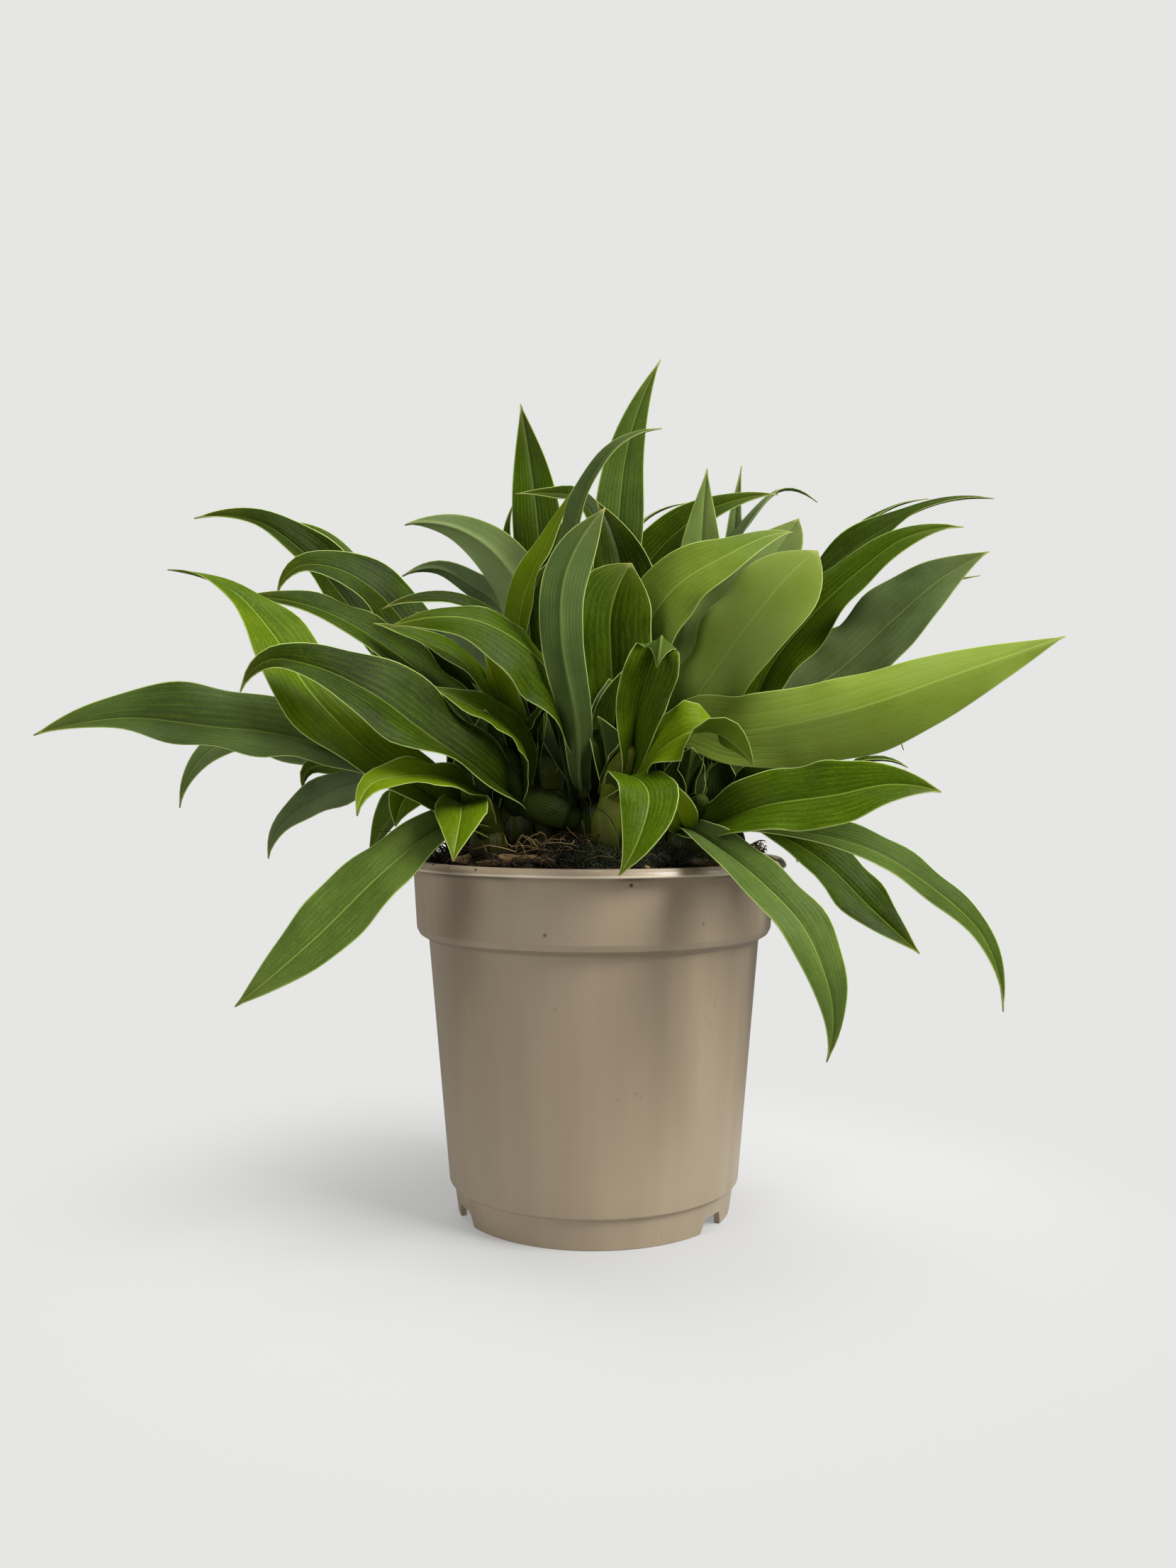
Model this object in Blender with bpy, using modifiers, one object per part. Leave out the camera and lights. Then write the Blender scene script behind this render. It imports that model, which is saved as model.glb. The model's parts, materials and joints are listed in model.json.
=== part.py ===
"""Potted orchid: a young clump of leafy growths in a round nursery pot.

The frame is in metres, +Z up, with the origin on the flat centre pad under the pot.
X runs to the right and the front faces -Y. Every size below is in millimetres.
"""

import math
import random

import bmesh
import bpy
import numpy as np
from mathutils import Matrix, Vector

MM = 0.001
MERGE = 0.00001

# Clear space between the mix and the pot, and round a bulb in its hole. The turned sides are
# facets, so the space left between them is about 0.3
GAP = 0.6
HOLE_GAP = 0.45

# Pot: a thin moulded nursery pot, 12 cm across its rim
RIM_RADIUS = 60.0
POT_HEIGHT = 109.0
WALL = 1.2
FLOOR_THICKNESS = 1.4
PAD_RADIUS = 8.0
FLOOR_RAISE = 4.0
FOOT_BOTTOM_RADIUS = 42.3
FOOT_TOP_RADIUS = 43.5
FOOT_HEIGHT = 8.8
FOOT_WALL = 1.7
BODY_BOTTOM_RADIUS = 45.0
BODY_BOTTOM = 9.8
BODY_TOP_RADIUS = 51.4
BODY_TOP = 84.4
COLLAR_BOTTOM_RADIUS = 55.1
COLLAR_BOTTOM = 87.8
COLLAR_TOP_RADIUS = 56.2
LIP_BOTTOM = 106.4
LIP_TOP_RADIUS = 58.6
POT_STEPS = 36
DRAIN_HOLES = 6
DRAIN_HOLE_RADIUS = 3.0
DRAIN_CIRCLE = 29.0
FOOT_NOTCHES = 3
NOTCH_ANGLE = 205.0
NOTCH_WIDTH = 6.2
NOTCH_TOP_SHARE = 0.66
NOTCH_TOP = 4.5
NOTCH_BELOW = 2.2
NOTCH_DEPTH_SHARE = 0.6

# Potting mix: bark and fibre heaped a little above the rim
MIX_EDGE = 106.0
MIX_MIDDLE = 114.5
MIX_BUMP = 0.7
MIX_STEPS = 26
MIX_RINGS = 4
CHIPS = 12
CHIP_SEED = 11

# Leaves
BLADE = 0.8
SEGMENT = 22.0
LEAST_WIDTH = 0.7
BROAD = 27.0

# Bulbs
BULB_SIDES = 10
BULB_PROFILE = ((0.0, 0.45), (0.18, 0.80), (0.40, 1.0), (0.62, 0.92), (0.82, 0.66), (0.95, 0.48),
                (1.0, 0.24))

POT_COLOUR = (0.33, 0.27, 0.19)
MIX_COLOUR = (0.05, 0.035, 0.022)
LEAF_COLOUR = (0.09, 0.16, 0.035)


def leaf(rib, width, roll=(0, 0), **form):
    """One blade: points along its midrib, its width, and its roll at even steps from base to tip.

    base is the stalk's share of the width, widest where the blade is broadest, tail how blunt the
    tip is. fold gives how steeply the halves rise at the base and beyond the middle, wave its
    height, count and phase, bow how far the halves curl back, and bearing which way it faces.
    """
    made = dict(base=0.42, widest=0.58, tail=1.7, fold=(50, 16), wave=(0.0, 2.0, 0.0), bow=0.1,
                bearing=None)
    made.update(form, rib=rib, width=width, roll=roll)
    return made


def growth(crown, bulbs, *leaves):
    """One leafy growth: the crown its leaves rise from, its bulbs as foot, top and radius, and its leaves."""
    return dict(crown=crown, bulbs=bulbs, leaves=leaves)


GROWTHS = {
    "growth_left": growth(
        (-40, 2, 122), [((-38, 2, 104), (-41, 2, 125.5), 7.0)],
        leaf([(-89, -10, 145), (-115, -20, 149), (-138, -30, 151), (-160, -38, 146)], 28, (-50, -58, -50),
             fold=(40, 30), widest=0.6, tail=1.6, wave=(1.8, 3.2, 0.1)),
        leaf([(-63, 4, 134), (-74, -1, 132), (-88, -5, 126), (-97, -8, 118), (-100, -10, 109)], 14,
             (-30, -60)),
        leaf([(-63, 8, 137), (-81, 6, 138), (-90, 4, 137), (-92, 2, 130)], 14, (50, 50)),
        leaf([(-52, -10, 131), (-57, -14, 128), (-60, -16, 119)], 14, (-50, -50)),
    ),
    "growth_left_back": growth(
        (-31, 22, 122), [((-29, 20, 105), (-32, 23, 125.5), 7.0)],
        leaf([(-98, 22, 143), (-112, 18, 148), (-124, 14, 143), (-131, 12, 134), (-134, 12, 124)], 15,
             (-20, -80)),
        leaf([(-82, 12, 193), (-93, 6, 206), (-107, 2, 215), (-125, -2, 215)], 22, (-50, -50),
             fold=(40, 28)),
        leaf([(-77, 26, 192), (-84, 26, 207), (-92, 24, 215), (-103, 22, 219)], 17, (-50, -50)),
        leaf([(-44, 44, 150), (-66, 74, 164), (-84, 98, 154)], 24),
        leaf([(-42, 44, 134), (-66, 66, 128), (-84, 78, 104)], 22),
        leaf([(-60, 40, 158), (-88, 52, 176), (-112, 58, 182)], 22),
        leaf([(-36, 46, 168), (-48, 64, 188), (-58, 74, 196)], 21),
    ),
    "growth_front_left": growth(
        (-30, -31, 119), [((-30, -32, 105), (-30.5, -31, 122.5), 5.5)],
        leaf([(-42, -48, 120), (-56, -60, 109), (-74, -68, 91), (-94, -70, 74)], 18, (-40, -55), tail=2.0),
        leaf([(-47, -46, 130), (-63, -54, 142), (-78, -56, 158), (-89, -52, 174), (-101, -49, 186),
             (-119, -46, 192)], 24, (-55, -55, -55, -40, 0), fold=(40, 16)),
        leaf([(-36, -50, 126), (-36, -62, 122), (-37, -70, 112)], 15, bearing=-90),
        leaf([(-34, -48, 129), (-41, -60, 134), (-51, -68, 134), (-58, -72, 132), (-61, -76, 124)], 14,
             (-40, -30)),
    ),
    "growth_front_left_upper": growth(
        (-23, -31, 127), [((-13, -32, 106), (-15, -32, 123), 3.6), ((-4, -33, 121), (-26, -31, 129), 5.2)],
        leaf([(-31, -50, 135), (-46, -60, 146), (-59, -66, 156), (-74, -70, 163), (-85, -72, 164),
             (-92, -72, 156)], 28, (-50, -50, -60, -50), fold=(45, 20), widest=0.5, tail=1.3),
        leaf([(-21, -40, 143), (-27, -45, 150), (-35, -49, 154), (-45, -52, 159)], 16, (-50, -50)),
    ),
    "growth_inner_left": growth(
        (-20, -8, 132), [((-18, -8, 106), (-20, -8, 135.5), 6.5)],
        leaf([(-42, -22, 156), (-58, -28, 170), (-76, -33, 181), (-90, -35, 185), (-103, -36, 185)], 21,
             (-30, -40)),
        leaf([(-58, -8, 181), (-67, -12, 191), (-78, -16, 197), (-88, -20, 197), (-94, -24, 188)], 22,
             (-50, -50)),
        leaf([(-23, -8, 182), (-19, -6, 197), (-14, -4, 208), (-6, -2, 225)], 15, (20, 20)),
        leaf([(-22, -16, 170), (-32, -20, 182), (-42, -24, 186), (-52, -28, 186), (-62, -30, 183)], 16,
             (-30, -30)),
        leaf([(-29, -30, 154), (-38, -34, 167), (-49, -36, 173), (-63, -38, 178)], 18, (-40, -40)),
        leaf([(-26, -26, 154), (-28, -28, 162), (-32, -30, 170)], 12, bearing=90),
        leaf([(-32, -12, 163), (-43, -10, 176), (-55, -8, 185)], 16, (40, 40)),
    ),
    "growth_middle_left": growth(
        (-14, 13, 130), [((-13, 12, 107), (-14, 13, 133.5), 6.0)],
        leaf([(-17, 18, 189), (-18, 18, 212), (-20, 19, 231), (-24, 20, 257)], 17, bearing=90, widest=0.66,
             tail=1.9),
        leaf([(-28, 26, 204), (-29, 26, 217), (-26, 26, 226)], 9),
        leaf([(-22, 10, 190), (-31, 8, 205), (-43, 6, 213), (-54, 5, 215), (-60, 4, 214)], 19, (70, 60)),
        leaf([(-30, 18, 189), (-40, 16, 197), (-51, 14, 202), (-62, 12, 199)], 14, (60, 50)),
        leaf([(-22, 30, 166), (-30, 52, 190), (-38, 66, 194)], 21),
    ),
    "growth_middle": growth(
        (5, 13, 130), [((5, 12, 107), (5, 13, 133.5), 6.5)],
        leaf([(1, 4, 214), (-6, 4, 223), (-13, 4, 224), (-25, 4, 224)], 15, (-55, -55)),
        leaf([(6, 10, 190), (8, 12, 216), (10, 14, 236), (14, 15, 252), (22, 18, 271)], 17, bearing=90),
        leaf([(7, 2, 178), (9, 4, 196), (6, 5, 211), (1, 6, 222)], 27, bearing=90),
        leaf([(11, 8, 190), (21, 10, 207), (35, 12, 219), (47, 13, 224), (60, 14, 226)], 18, (60, 55)),
        leaf([(-6, 34, 176), (-8, 58, 200), (-4, 74, 206)], 21),
    ),
    "growth_centre": growth(
        (-2, -16, 128), [((-1, -15, 107), (-2, -16, 131.5), 6.5)],
        leaf([(-8, -20, 198), (-5, -22, 211), (0, -23, 224), (8, -24, 233), (20, -25, 237)], 17, (60, 40)),
        leaf([(-4, -36, 133), (-5, -44, 149), (-9, -50, 172), (-8, -48, 190), (3, -40, 210)], 13,
             bearing=-90, widest=0.76, tail=2.4, base=0.35),
        leaf([(6, -26, 146), (5, -30, 166), (5, -30, 183), (11, -26, 197)], 25, bearing=90, widest=0.72,
             tail=3.0),
        leaf([(-18, 2, 166), (-20, 4, 188), (-14, 6, 203)], 15, bearing=90),
        leaf([(-8, -34, 150), (-14, -44, 165), (-27, -50, 175), (-39, -52, 178), (-56, -54, 175)], 26,
             (-60, -45), fold=(45, -8), widest=0.5),
        leaf([(5, -34, 141), (6, -38, 153), (11, -38, 167)], 14, bearing=90),
    ),
    "growth_inner_right": growth(
        (20, -3, 128), [((19, -3, 107), (20, -3, 131.5), 6.5)],
        leaf([(15, -22, 175), (24, -24, 190), (40, -24, 200), (52, -20, 206), (60, -16, 208)], 22, (70, 60),
             fold=(50, 8)),
        leaf([(33, 2, 189), (34, 3, 209), (36, 4, 232)], 18, bearing=90),
        leaf([(36, -8, 170), (44, -8, 188), (55, -7, 202), (64, -2, 215)], 25, bearing=60, widest=0.72,
             tail=2.6),
        leaf([(28, -20, 153), (36, -28, 166), (46, -36, 180), (56, -38, 192), (64, -36, 199)], 30, (72, 78),
             fold=(50, 5), widest=0.72, tail=3.4),
        leaf([(28, -26, 149), (42, -42, 147), (69, -58, 152), (98, -62, 162), (127, -58, 172)], 24,
             (60, 80, 80), fold=(45, -16), widest=0.6, bow=0.15),
    ),
    "growth_right_back": growth(
        (33, 18, 122), [((31, 17, 105), (33.5, 18.5, 125.5), 7.0)],
        leaf([(40, 22, 197), (52, 24, 219), (63, 26, 230), (75, 26, 226)], 14, (10, 10)),
        leaf([(62, 14, 156), (80, 12, 169), (97, 10, 185), (112, 8, 198), (126, 6, 206)], 27, (60, 60),
             widest=0.68),
        leaf([(85, 22, 180), (108, 22, 195), (128, 22, 201)], 12, (10, 10)),
        leaf([(66, 26, 185), (81, 26, 205), (99, 24, 218), (115, 22, 225), (132, 20, 226)], 20, (30, 20),
             widest=0.66),
        leaf([(87, 34, 215), (100, 34, 225), (114, 34, 229)], 10, (10, 10)),
        leaf([(55, 30, 119), (65, 33, 113), (70, 35, 105)], 14, (30, 30)),
        leaf([(80, 20, 143), (99, 22, 148), (103, 22, 143)], 8, (10, 10)),
        leaf([(52, 42, 150), (76, 68, 162), (98, 86, 150)], 24),
        leaf([(60, 44, 164), (84, 56, 184), (104, 64, 192)], 21),
        leaf([(48, 40, 134), (68, 62, 130), (86, 74, 108)], 21),
    ),
    "growth_back_right": growth(
        (13, 36, 122), [((12, 34, 105), (13.5, 37, 125.5), 7.0)],
        leaf([(46, 30, 205), (48, 30, 224), (50, 30, 239)], 10, bearing=90),
        leaf([(10, 30, 207), (17, 34, 221), (32, 36, 228)], 9, (10, 10)),
        leaf([(20, 60, 156), (30, 96, 170), (42, 128, 156)], 25),
        leaf([(16, 62, 134), (12, 96, 128), (6, 118, 98)], 23),
        leaf([(26, 52, 160), (42, 66, 182), (50, 74, 196)], 21),
        leaf([(24, 56, 128), (44, 80, 124), (56, 98, 100)], 20),
        leaf([(14, 54, 178), (16, 64, 200), (22, 72, 210)], 20),
    ),
    "growth_front": growth(
        (5, -39, 129), [((5, -38, 105), (5, -39.5, 132.5), 5.5)],
        leaf([(13, -50, 135), (19, -57, 142), (26, -62, 146), (32, -64, 146), (38, -65, 142),
             (42, -66, 137)], 23, (50, 50, 50, 50, -45, -65), widest=0.66, tail=1.4),
        leaf([(10, -60, 134), (14, -72, 129), (11, -79, 118), (6, -81, 109)], 16, bearing=-90,
             fold=(30, 14)),
        leaf([(10, -46, 138), (12, -52, 153), (15.5, -55.5, 165), (18, -58, 172), (17.5, -62, 169),
             (16.5, -63, 163)], 20, bearing=90, fold=(75, 42), widest=0.66, tail=1.4, base=0.26),
    ),
    "growth_right": growth(
        (41, -7, 120), [((39, -7, 104), (42, -7, 123.5), 6.0)],
        leaf([(54, 2, 165), (69, 1, 185), (85, 0, 200), (98, -2, 209), (115, -4, 212)], 22, (60, 40),
             wave=(1.5, 2, 0)),
        leaf([(55, -14, 117), (68, -20, 109), (82, -24, 95), (96, -26, 82)], 18, (40, 50)),
        leaf([(46, -30, 131), (61, -36, 139), (86, -40, 145)], 18, (40, 40)),
        leaf([(66, -18, 129), (82, -22, 139), (93, -24, 137)], 13, (10, 10)),
    ),
    "growth_front_right": growth(
        (26, -31, 119), [((25, -30, 105), (26.5, -31.5, 122.5), 6.0)],
        leaf([(32, -44, 120), (46, -56, 126), (64, -62, 129), (79, -64, 132), (92, -64, 130)], 21, (60, 65)),
        leaf([(32, -40, 119), (54, -44, 119), (76, -46, 114), (93, -46, 104), (109, -45, 89),
             (115, -44, 68)], 13, (40, 45), wave=(1.2, 2.2, 0)),
        leaf([(32, -54, 116), (43, -66, 107), (54, -72, 95), (60, -73, 81), (62, -71, 71), (61, -68, 59)],
             15, (30, 30, 20)),
        leaf([(24, -44, 123), (21, -50, 133)], 11, bearing=90),
    ),
    "growth_back_left": growth(
        (-11, 37, 122), [((-10, 35, 105), (-11.5, 38, 125.5), 7.0)],
        leaf([(-14, 58, 158), (-22, 92, 176), (-28, 122, 166)], 25),
        leaf([(-18, 60, 140), (-34, 92, 140), (-44, 124, 118)], 23),
        leaf([(-6, 56, 170), (-4, 80, 196), (2, 96, 206)], 22),
        leaf([(-20, 56, 122), (-32, 78, 112), (-40, 92, 88)], 20),
        leaf([(-15, 56, 166), (-19, 67, 181), (-24, 75, 187)], 20),
    ),
}


def clear_scene():
    """Remove what the scene already holds."""
    for obj in list(bpy.data.objects):
        bpy.data.objects.remove(obj, do_unlink=True)


def new_collection(name):
    """A collection under the scene's own."""
    made = bpy.data.collections.new(name)
    bpy.context.scene.collection.children.link(made)
    return made


def material(name, colour, roughness):
    """A plain Principled material."""
    made = bpy.data.materials.new(name)
    made.use_nodes = True
    shader = made.node_tree.nodes["Principled BSDF"]
    shader.inputs["Base Color"].default_value = (*colour, 1.0)
    shader.inputs["Roughness"].default_value = roughness
    shader.inputs["Metallic"].default_value = 0.0
    made.diffuse_color = (*colour, 1.0)
    return made


def add_object(name, mesh, collection, finish=None):
    """Link a mesh as a named object."""
    obj = bpy.data.objects.new(name, mesh)
    collection.objects.link(obj)
    if finish:
        mesh.materials.append(finish)
    return obj


def hide_cutter(obj):
    """Mark an object as a guide that isn't part of the model."""
    obj.hide_render = True
    obj.display_type = "WIRE"


def turned(name, profile, sides, collection, finish=None):
    """Turn an outline of radius and height, given outer side downwards, about +Z."""
    bm = bmesh.new()
    verts = [bm.verts.new((radius * MM, 0.0, height * MM)) for radius, height in profile]
    for first, second in zip(verts, verts[1:]):
        bm.edges.new((first, second))
    mesh = bpy.data.meshes.new(name)
    bm.to_mesh(mesh)
    bm.free()
    obj = add_object(name, mesh, collection, finish)
    screw = obj.modifiers.new("turn", "SCREW")
    screw.steps = sides
    screw.render_steps = sides
    screw.use_merge_vertices = True
    screw.merge_threshold = MERGE
    screw.use_smooth_shade = True
    return obj


def boolean(obj, operation, collection, solver="EXACT"):
    """Cut or join an object with everything in a collection."""
    step = obj.modifiers.new(operation.lower(), "BOOLEAN")
    step.operation = operation
    step.operand_type = "COLLECTION"
    step.collection = collection
    step.solver = solver
    return step


def apply_modifiers(obj):
    """Replace an object's mesh with its evaluated one."""
    bpy.context.view_layer.update()
    graph = bpy.context.evaluated_depsgraph_get()
    mesh = bpy.data.meshes.new_from_object(obj.evaluated_get(graph))
    obj.modifiers.clear()
    obj.data = mesh
    return obj


def empty_collection(collection):
    """Remove a collection and the objects in it."""
    for obj in list(collection.objects):
        bpy.data.objects.remove(obj, do_unlink=True)
    bpy.data.collections.remove(collection)


def keep_outer_shell(mesh):
    """Fill hollows that a union sealed and drop loose scraps, by keeping only the largest shell."""
    bm = bmesh.new()
    bm.from_mesh(mesh)
    waiting = set(bm.verts)
    shells = []
    while waiting:
        shell = {waiting.pop()}
        edge = list(shell)
        while edge:
            near = {link.other_vert(vert) for vert in edge for link in vert.link_edges} & waiting
            waiting -= near
            shell |= near
            edge = list(near)
        shells.append(shell)
    shells.sort(key=len)
    for shell in shells[:-1]:
        bmesh.ops.delete(bm, geom=list(shell), context="VERTS")
    bm.to_mesh(mesh)
    bm.free()


def inner_wall():
    """Radius and height up the pot's inner wall, from its floor to the rim."""
    return [
        (FOOT_TOP_RADIUS - 2.1, FLOOR_RAISE + FLOOR_THICKNESS),
        (FOOT_TOP_RADIUS - 1.6, BODY_BOTTOM - 0.4),
        (BODY_BOTTOM_RADIUS - WALL, BODY_BOTTOM + 2.4),
        (BODY_TOP_RADIUS - WALL, BODY_TOP + 0.5),
        (COLLAR_BOTTOM_RADIUS - WALL, COLLAR_BOTTOM + 0.8),
        (COLLAR_TOP_RADIUS - WALL, LIP_BOTTOM + 1.2),
    ]


def pot_profile():
    """The pot's wall from the middle of its inner floor, round the rim and down to the pad beneath."""
    floor_top = FLOOR_RAISE + FLOOR_THICKNESS
    inner_foot = FOOT_BOTTOM_RADIUS - FOOT_WALL
    return [
        (0.0, FLOOR_THICKNESS),
        (PAD_RADIUS - 1.0, FLOOR_THICKNESS),
        (PAD_RADIUS + 0.4, floor_top),
        *inner_wall(),
        (COLLAR_TOP_RADIUS + 0.2, POT_HEIGHT),
        (LIP_TOP_RADIUS, POT_HEIGHT),
        (RIM_RADIUS - 0.5, POT_HEIGHT - 0.9),
        (RIM_RADIUS, LIP_BOTTOM + 0.5),
        (RIM_RADIUS - 0.3, LIP_BOTTOM),
        (COLLAR_TOP_RADIUS, LIP_BOTTOM),
        (COLLAR_BOTTOM_RADIUS, COLLAR_BOTTOM),
        (COLLAR_BOTTOM_RADIUS - 0.9, COLLAR_BOTTOM - 1.8),
        (BODY_TOP_RADIUS + 0.8, BODY_TOP + 0.4),
        (BODY_TOP_RADIUS, BODY_TOP),
        (BODY_BOTTOM_RADIUS, BODY_BOTTOM),
        (FOOT_TOP_RADIUS, FOOT_HEIGHT),
        (FOOT_BOTTOM_RADIUS, 0.0),
        (inner_foot, 0.0),
        (inner_foot + 0.3, FLOOR_RAISE),
        (PAD_RADIUS + 1.4, FLOOR_RAISE),
        (PAD_RADIUS, 0.0),
        (0.0, 0.0),
    ]


def drain_cutters(collection):
    """Holes through the floor, and notches through the foot ring that let the water out."""
    for number in range(DRAIN_HOLES):
        angle = 2.0 * math.pi * (number + 0.5) / DRAIN_HOLES
        bm = bmesh.new()
        bmesh.ops.create_cone(bm, cap_ends=True, segments=12, radius1=DRAIN_HOLE_RADIUS * MM,
                              radius2=DRAIN_HOLE_RADIUS * MM, depth=6.0 * MM)
        mesh = bpy.data.meshes.new("drain_hole_cutter")
        bm.to_mesh(mesh)
        bm.free()
        cutter = add_object(f"drain_hole_cutter_{number}", mesh, collection)
        cutter.location = (DRAIN_CIRCLE * MM * math.cos(angle), DRAIN_CIRCLE * MM * math.sin(angle),
                           (FLOOR_RAISE + FLOOR_THICKNESS / 2.0) * MM)
        hide_cutter(cutter)
    for number in range(FOOT_NOTCHES):
        angle = math.radians(NOTCH_ANGLE + 360.0 * number / FOOT_NOTCHES)
        bm = bmesh.new()
        depth = (NOTCH_TOP + NOTCH_BELOW) * MM
        bmesh.ops.create_cone(bm, cap_ends=True, segments=10, radius1=NOTCH_WIDTH * MM,
                              radius2=NOTCH_WIDTH * NOTCH_TOP_SHARE * MM, depth=depth)
        bmesh.ops.scale(bm, vec=(NOTCH_DEPTH_SHARE, 1.0, 1.0), verts=bm.verts)
        mesh = bpy.data.meshes.new("notch_cutter")
        bm.to_mesh(mesh)
        bm.free()
        cutter = add_object(f"notch_cutter_{number}", mesh, collection)
        reach = FOOT_BOTTOM_RADIUS * MM
        middle = (NOTCH_TOP - NOTCH_BELOW) / 2.0 * MM
        cutter.location = (reach * math.cos(angle), reach * math.sin(angle), middle)
        cutter.rotation_euler.z = angle
        hide_cutter(cutter)


def build_pot(parts, finish):
    """The pot: one thin turned wall with its drain holes and foot notches cut."""
    pot = turned("pot", pot_profile(), POT_STEPS, parts, finish)
    cutters = new_collection("pot_cutters")
    drain_cutters(cutters)
    boolean(pot, "DIFFERENCE", cutters)
    return pot


def inner_radius(height):
    """The pot's inner radius at a height above its floor."""
    rows = inner_wall()
    return float(np.interp(height, [row[1] for row in rows], [row[0] for row in rows]))


def mix_height(x, y):
    """Height of the heaped mix: a low dome from the wall to the middle, with shallow waves over it."""
    reach = inner_radius(MIX_EDGE) - GAP
    share = np.clip(np.hypot(x, y) / reach, 0.0, 1.0)
    dome = MIX_EDGE + (MIX_MIDDLE - MIX_EDGE) * (1.0 - share ** 3)
    waves = np.sin(x * 0.31 + 1.3) * np.cos(y * 0.27 - 0.6) + 0.6 * np.sin(x * 0.13 - y * 0.36)
    return dome + MIX_BUMP * waves * (1.0 - share ** 6)


def bulb_profile(radius, length, clearance):
    """A bulb's outline, top to bottom, with its ends on the axis; clearance makes it larger all round."""
    foot, *middle, top = [(radius * share + clearance, length * step) for step, share in BULB_PROFILE]
    foot = (foot[0], -clearance)
    top = (top[0], length + clearance)
    return [(0.0, top[1]), top, *reversed(middle), foot, (0.0, foot[1])]


def add_bulb(name, foot, top, radius, collection, clearance=0.0):
    """A spindle-shaped bulb from its foot to its top."""
    foot = Vector(foot)
    run = Vector(top) - foot
    obj = turned(name, bulb_profile(radius, run.length, clearance), BULB_SIDES, collection)
    turn = Vector((0.0, 0.0, 1.0)).rotation_difference(run.normalized())
    obj.matrix_world = Matrix.Translation(foot * MM) @ turn.to_matrix().to_4x4()
    return obj


def midrib(points, count):
    """Evenly spaced points on a smooth curve through the given ones: cubic pieces whose knots are
    the square roots of the chords, with slopes read from the neighbouring points."""
    points = np.array(points, float)
    chords = np.linalg.norm(np.diff(points, axis=0), axis=1)
    knots = np.concatenate([[0.0], np.cumsum(np.sqrt(chords))])
    slopes = np.gradient(points, knots, axis=0, edge_order=2 if len(points) > 2 else 1)
    fine = np.linspace(0.0, knots[-1], 240)
    piece = np.clip(np.searchsorted(knots, fine, side="right") - 1, 0, len(points) - 2)
    span = (knots[piece + 1] - knots[piece])[:, None]
    step = (fine - knots[piece])[:, None] / span
    curve = ((2.0 * step ** 3 - 3.0 * step ** 2 + 1.0) * points[piece]
             + (step ** 3 - 2.0 * step ** 2 + step) * span * slopes[piece]
             + (3.0 * step ** 2 - 2.0 * step ** 3) * points[piece + 1]
             + (step ** 3 - step ** 2) * span * slopes[piece + 1])
    reach = np.concatenate([[0.0], np.cumsum(np.linalg.norm(np.diff(curve, axis=0), axis=1))])
    even = np.linspace(0.0, reach[-1], count)
    return np.stack([np.interp(even, reach, curve[:, axis]) for axis in range(3)], axis=1)


def half_width(share, form):
    """A blade's half width: a rising sine from the stalk to the broadest place, then a fall to the tip."""
    rise = np.clip(share / form["widest"], 0.0, 1.0)
    fall = np.clip((share - form["widest"]) / (1.0 - form["widest"]), 0.0, 1.0)
    up = form["base"] + (1.0 - form["base"]) * np.sin(math.pi / 2.0 * rise) ** 1.15
    down = (1.0 - fall ** form["tail"]) ** 1.15
    width = form["width"] / 2.0 * np.where(share < form["widest"], up, down)
    return np.maximum(width, LEAST_WIDTH / 2.0)


def blade_surface(form, start, count, across):
    """Points of a blade, count along by across wide.

    Each cross-section is a shallow V square to the midrib. The halves rise by the fold angle,
    curl back by the bow times the square of the distance from the midrib, and swing by the wave.
    """
    rib = midrib([start, *form["rib"]], count)
    share = np.linspace(0.0, 1.0, count)
    along = np.gradient(rib, axis=0)
    along /= np.linalg.norm(along, axis=1)[:, None]
    chord = rib[-1] - rib[0]
    bearing = math.atan2(chord[1], chord[0]) if form["bearing"] is None else math.radians(form["bearing"])
    level = np.array([-math.sin(bearing), math.cos(bearing), 0.0])
    side = level - (along @ level)[:, None] * along
    side /= np.linalg.norm(side, axis=1)[:, None]
    face = np.cross(along, side)
    roll = np.radians(np.interp(share, np.linspace(0.0, 1.0, len(form["roll"])), form["roll"]))[:, None]
    side, face = side * np.cos(roll) + face * np.sin(roll), face * np.cos(roll) - side * np.sin(roll)
    half = half_width(share, form)[:, None]
    place = np.linspace(-1.0, 1.0, across)[None, :]
    first, last = form["fold"]
    fold = np.radians(first + (last - first) * np.clip(share / 0.5, 0.0, 1.0))[:, None]
    height, turns, phase = form["wave"]
    swing = np.sin(2.0 * math.pi * (turns * share[:, None] + phase + 0.23 * (place > 0.0)))
    wave = height * swing * place ** 2 * np.sin(math.pi * share[:, None])
    out = half * place * np.cos(fold)
    up = half * np.abs(place) * np.sin(fold) - form["bow"] * half * place ** 2 + wave
    return rib[:, None, :] + out[..., None] * side[:, None, :] + up[..., None] * face[:, None, :]


def leaf_start(form, crown):
    """Where a blade's stalk starts: in the bulb's neck, a little way out towards the leaf."""
    crown = np.array(crown, float)
    out = np.array(form["rib"][0], float) - crown
    out[2] = 0.0
    reach = np.linalg.norm(out)
    return crown + 2.4 * out / max(reach, 1.0)


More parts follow.
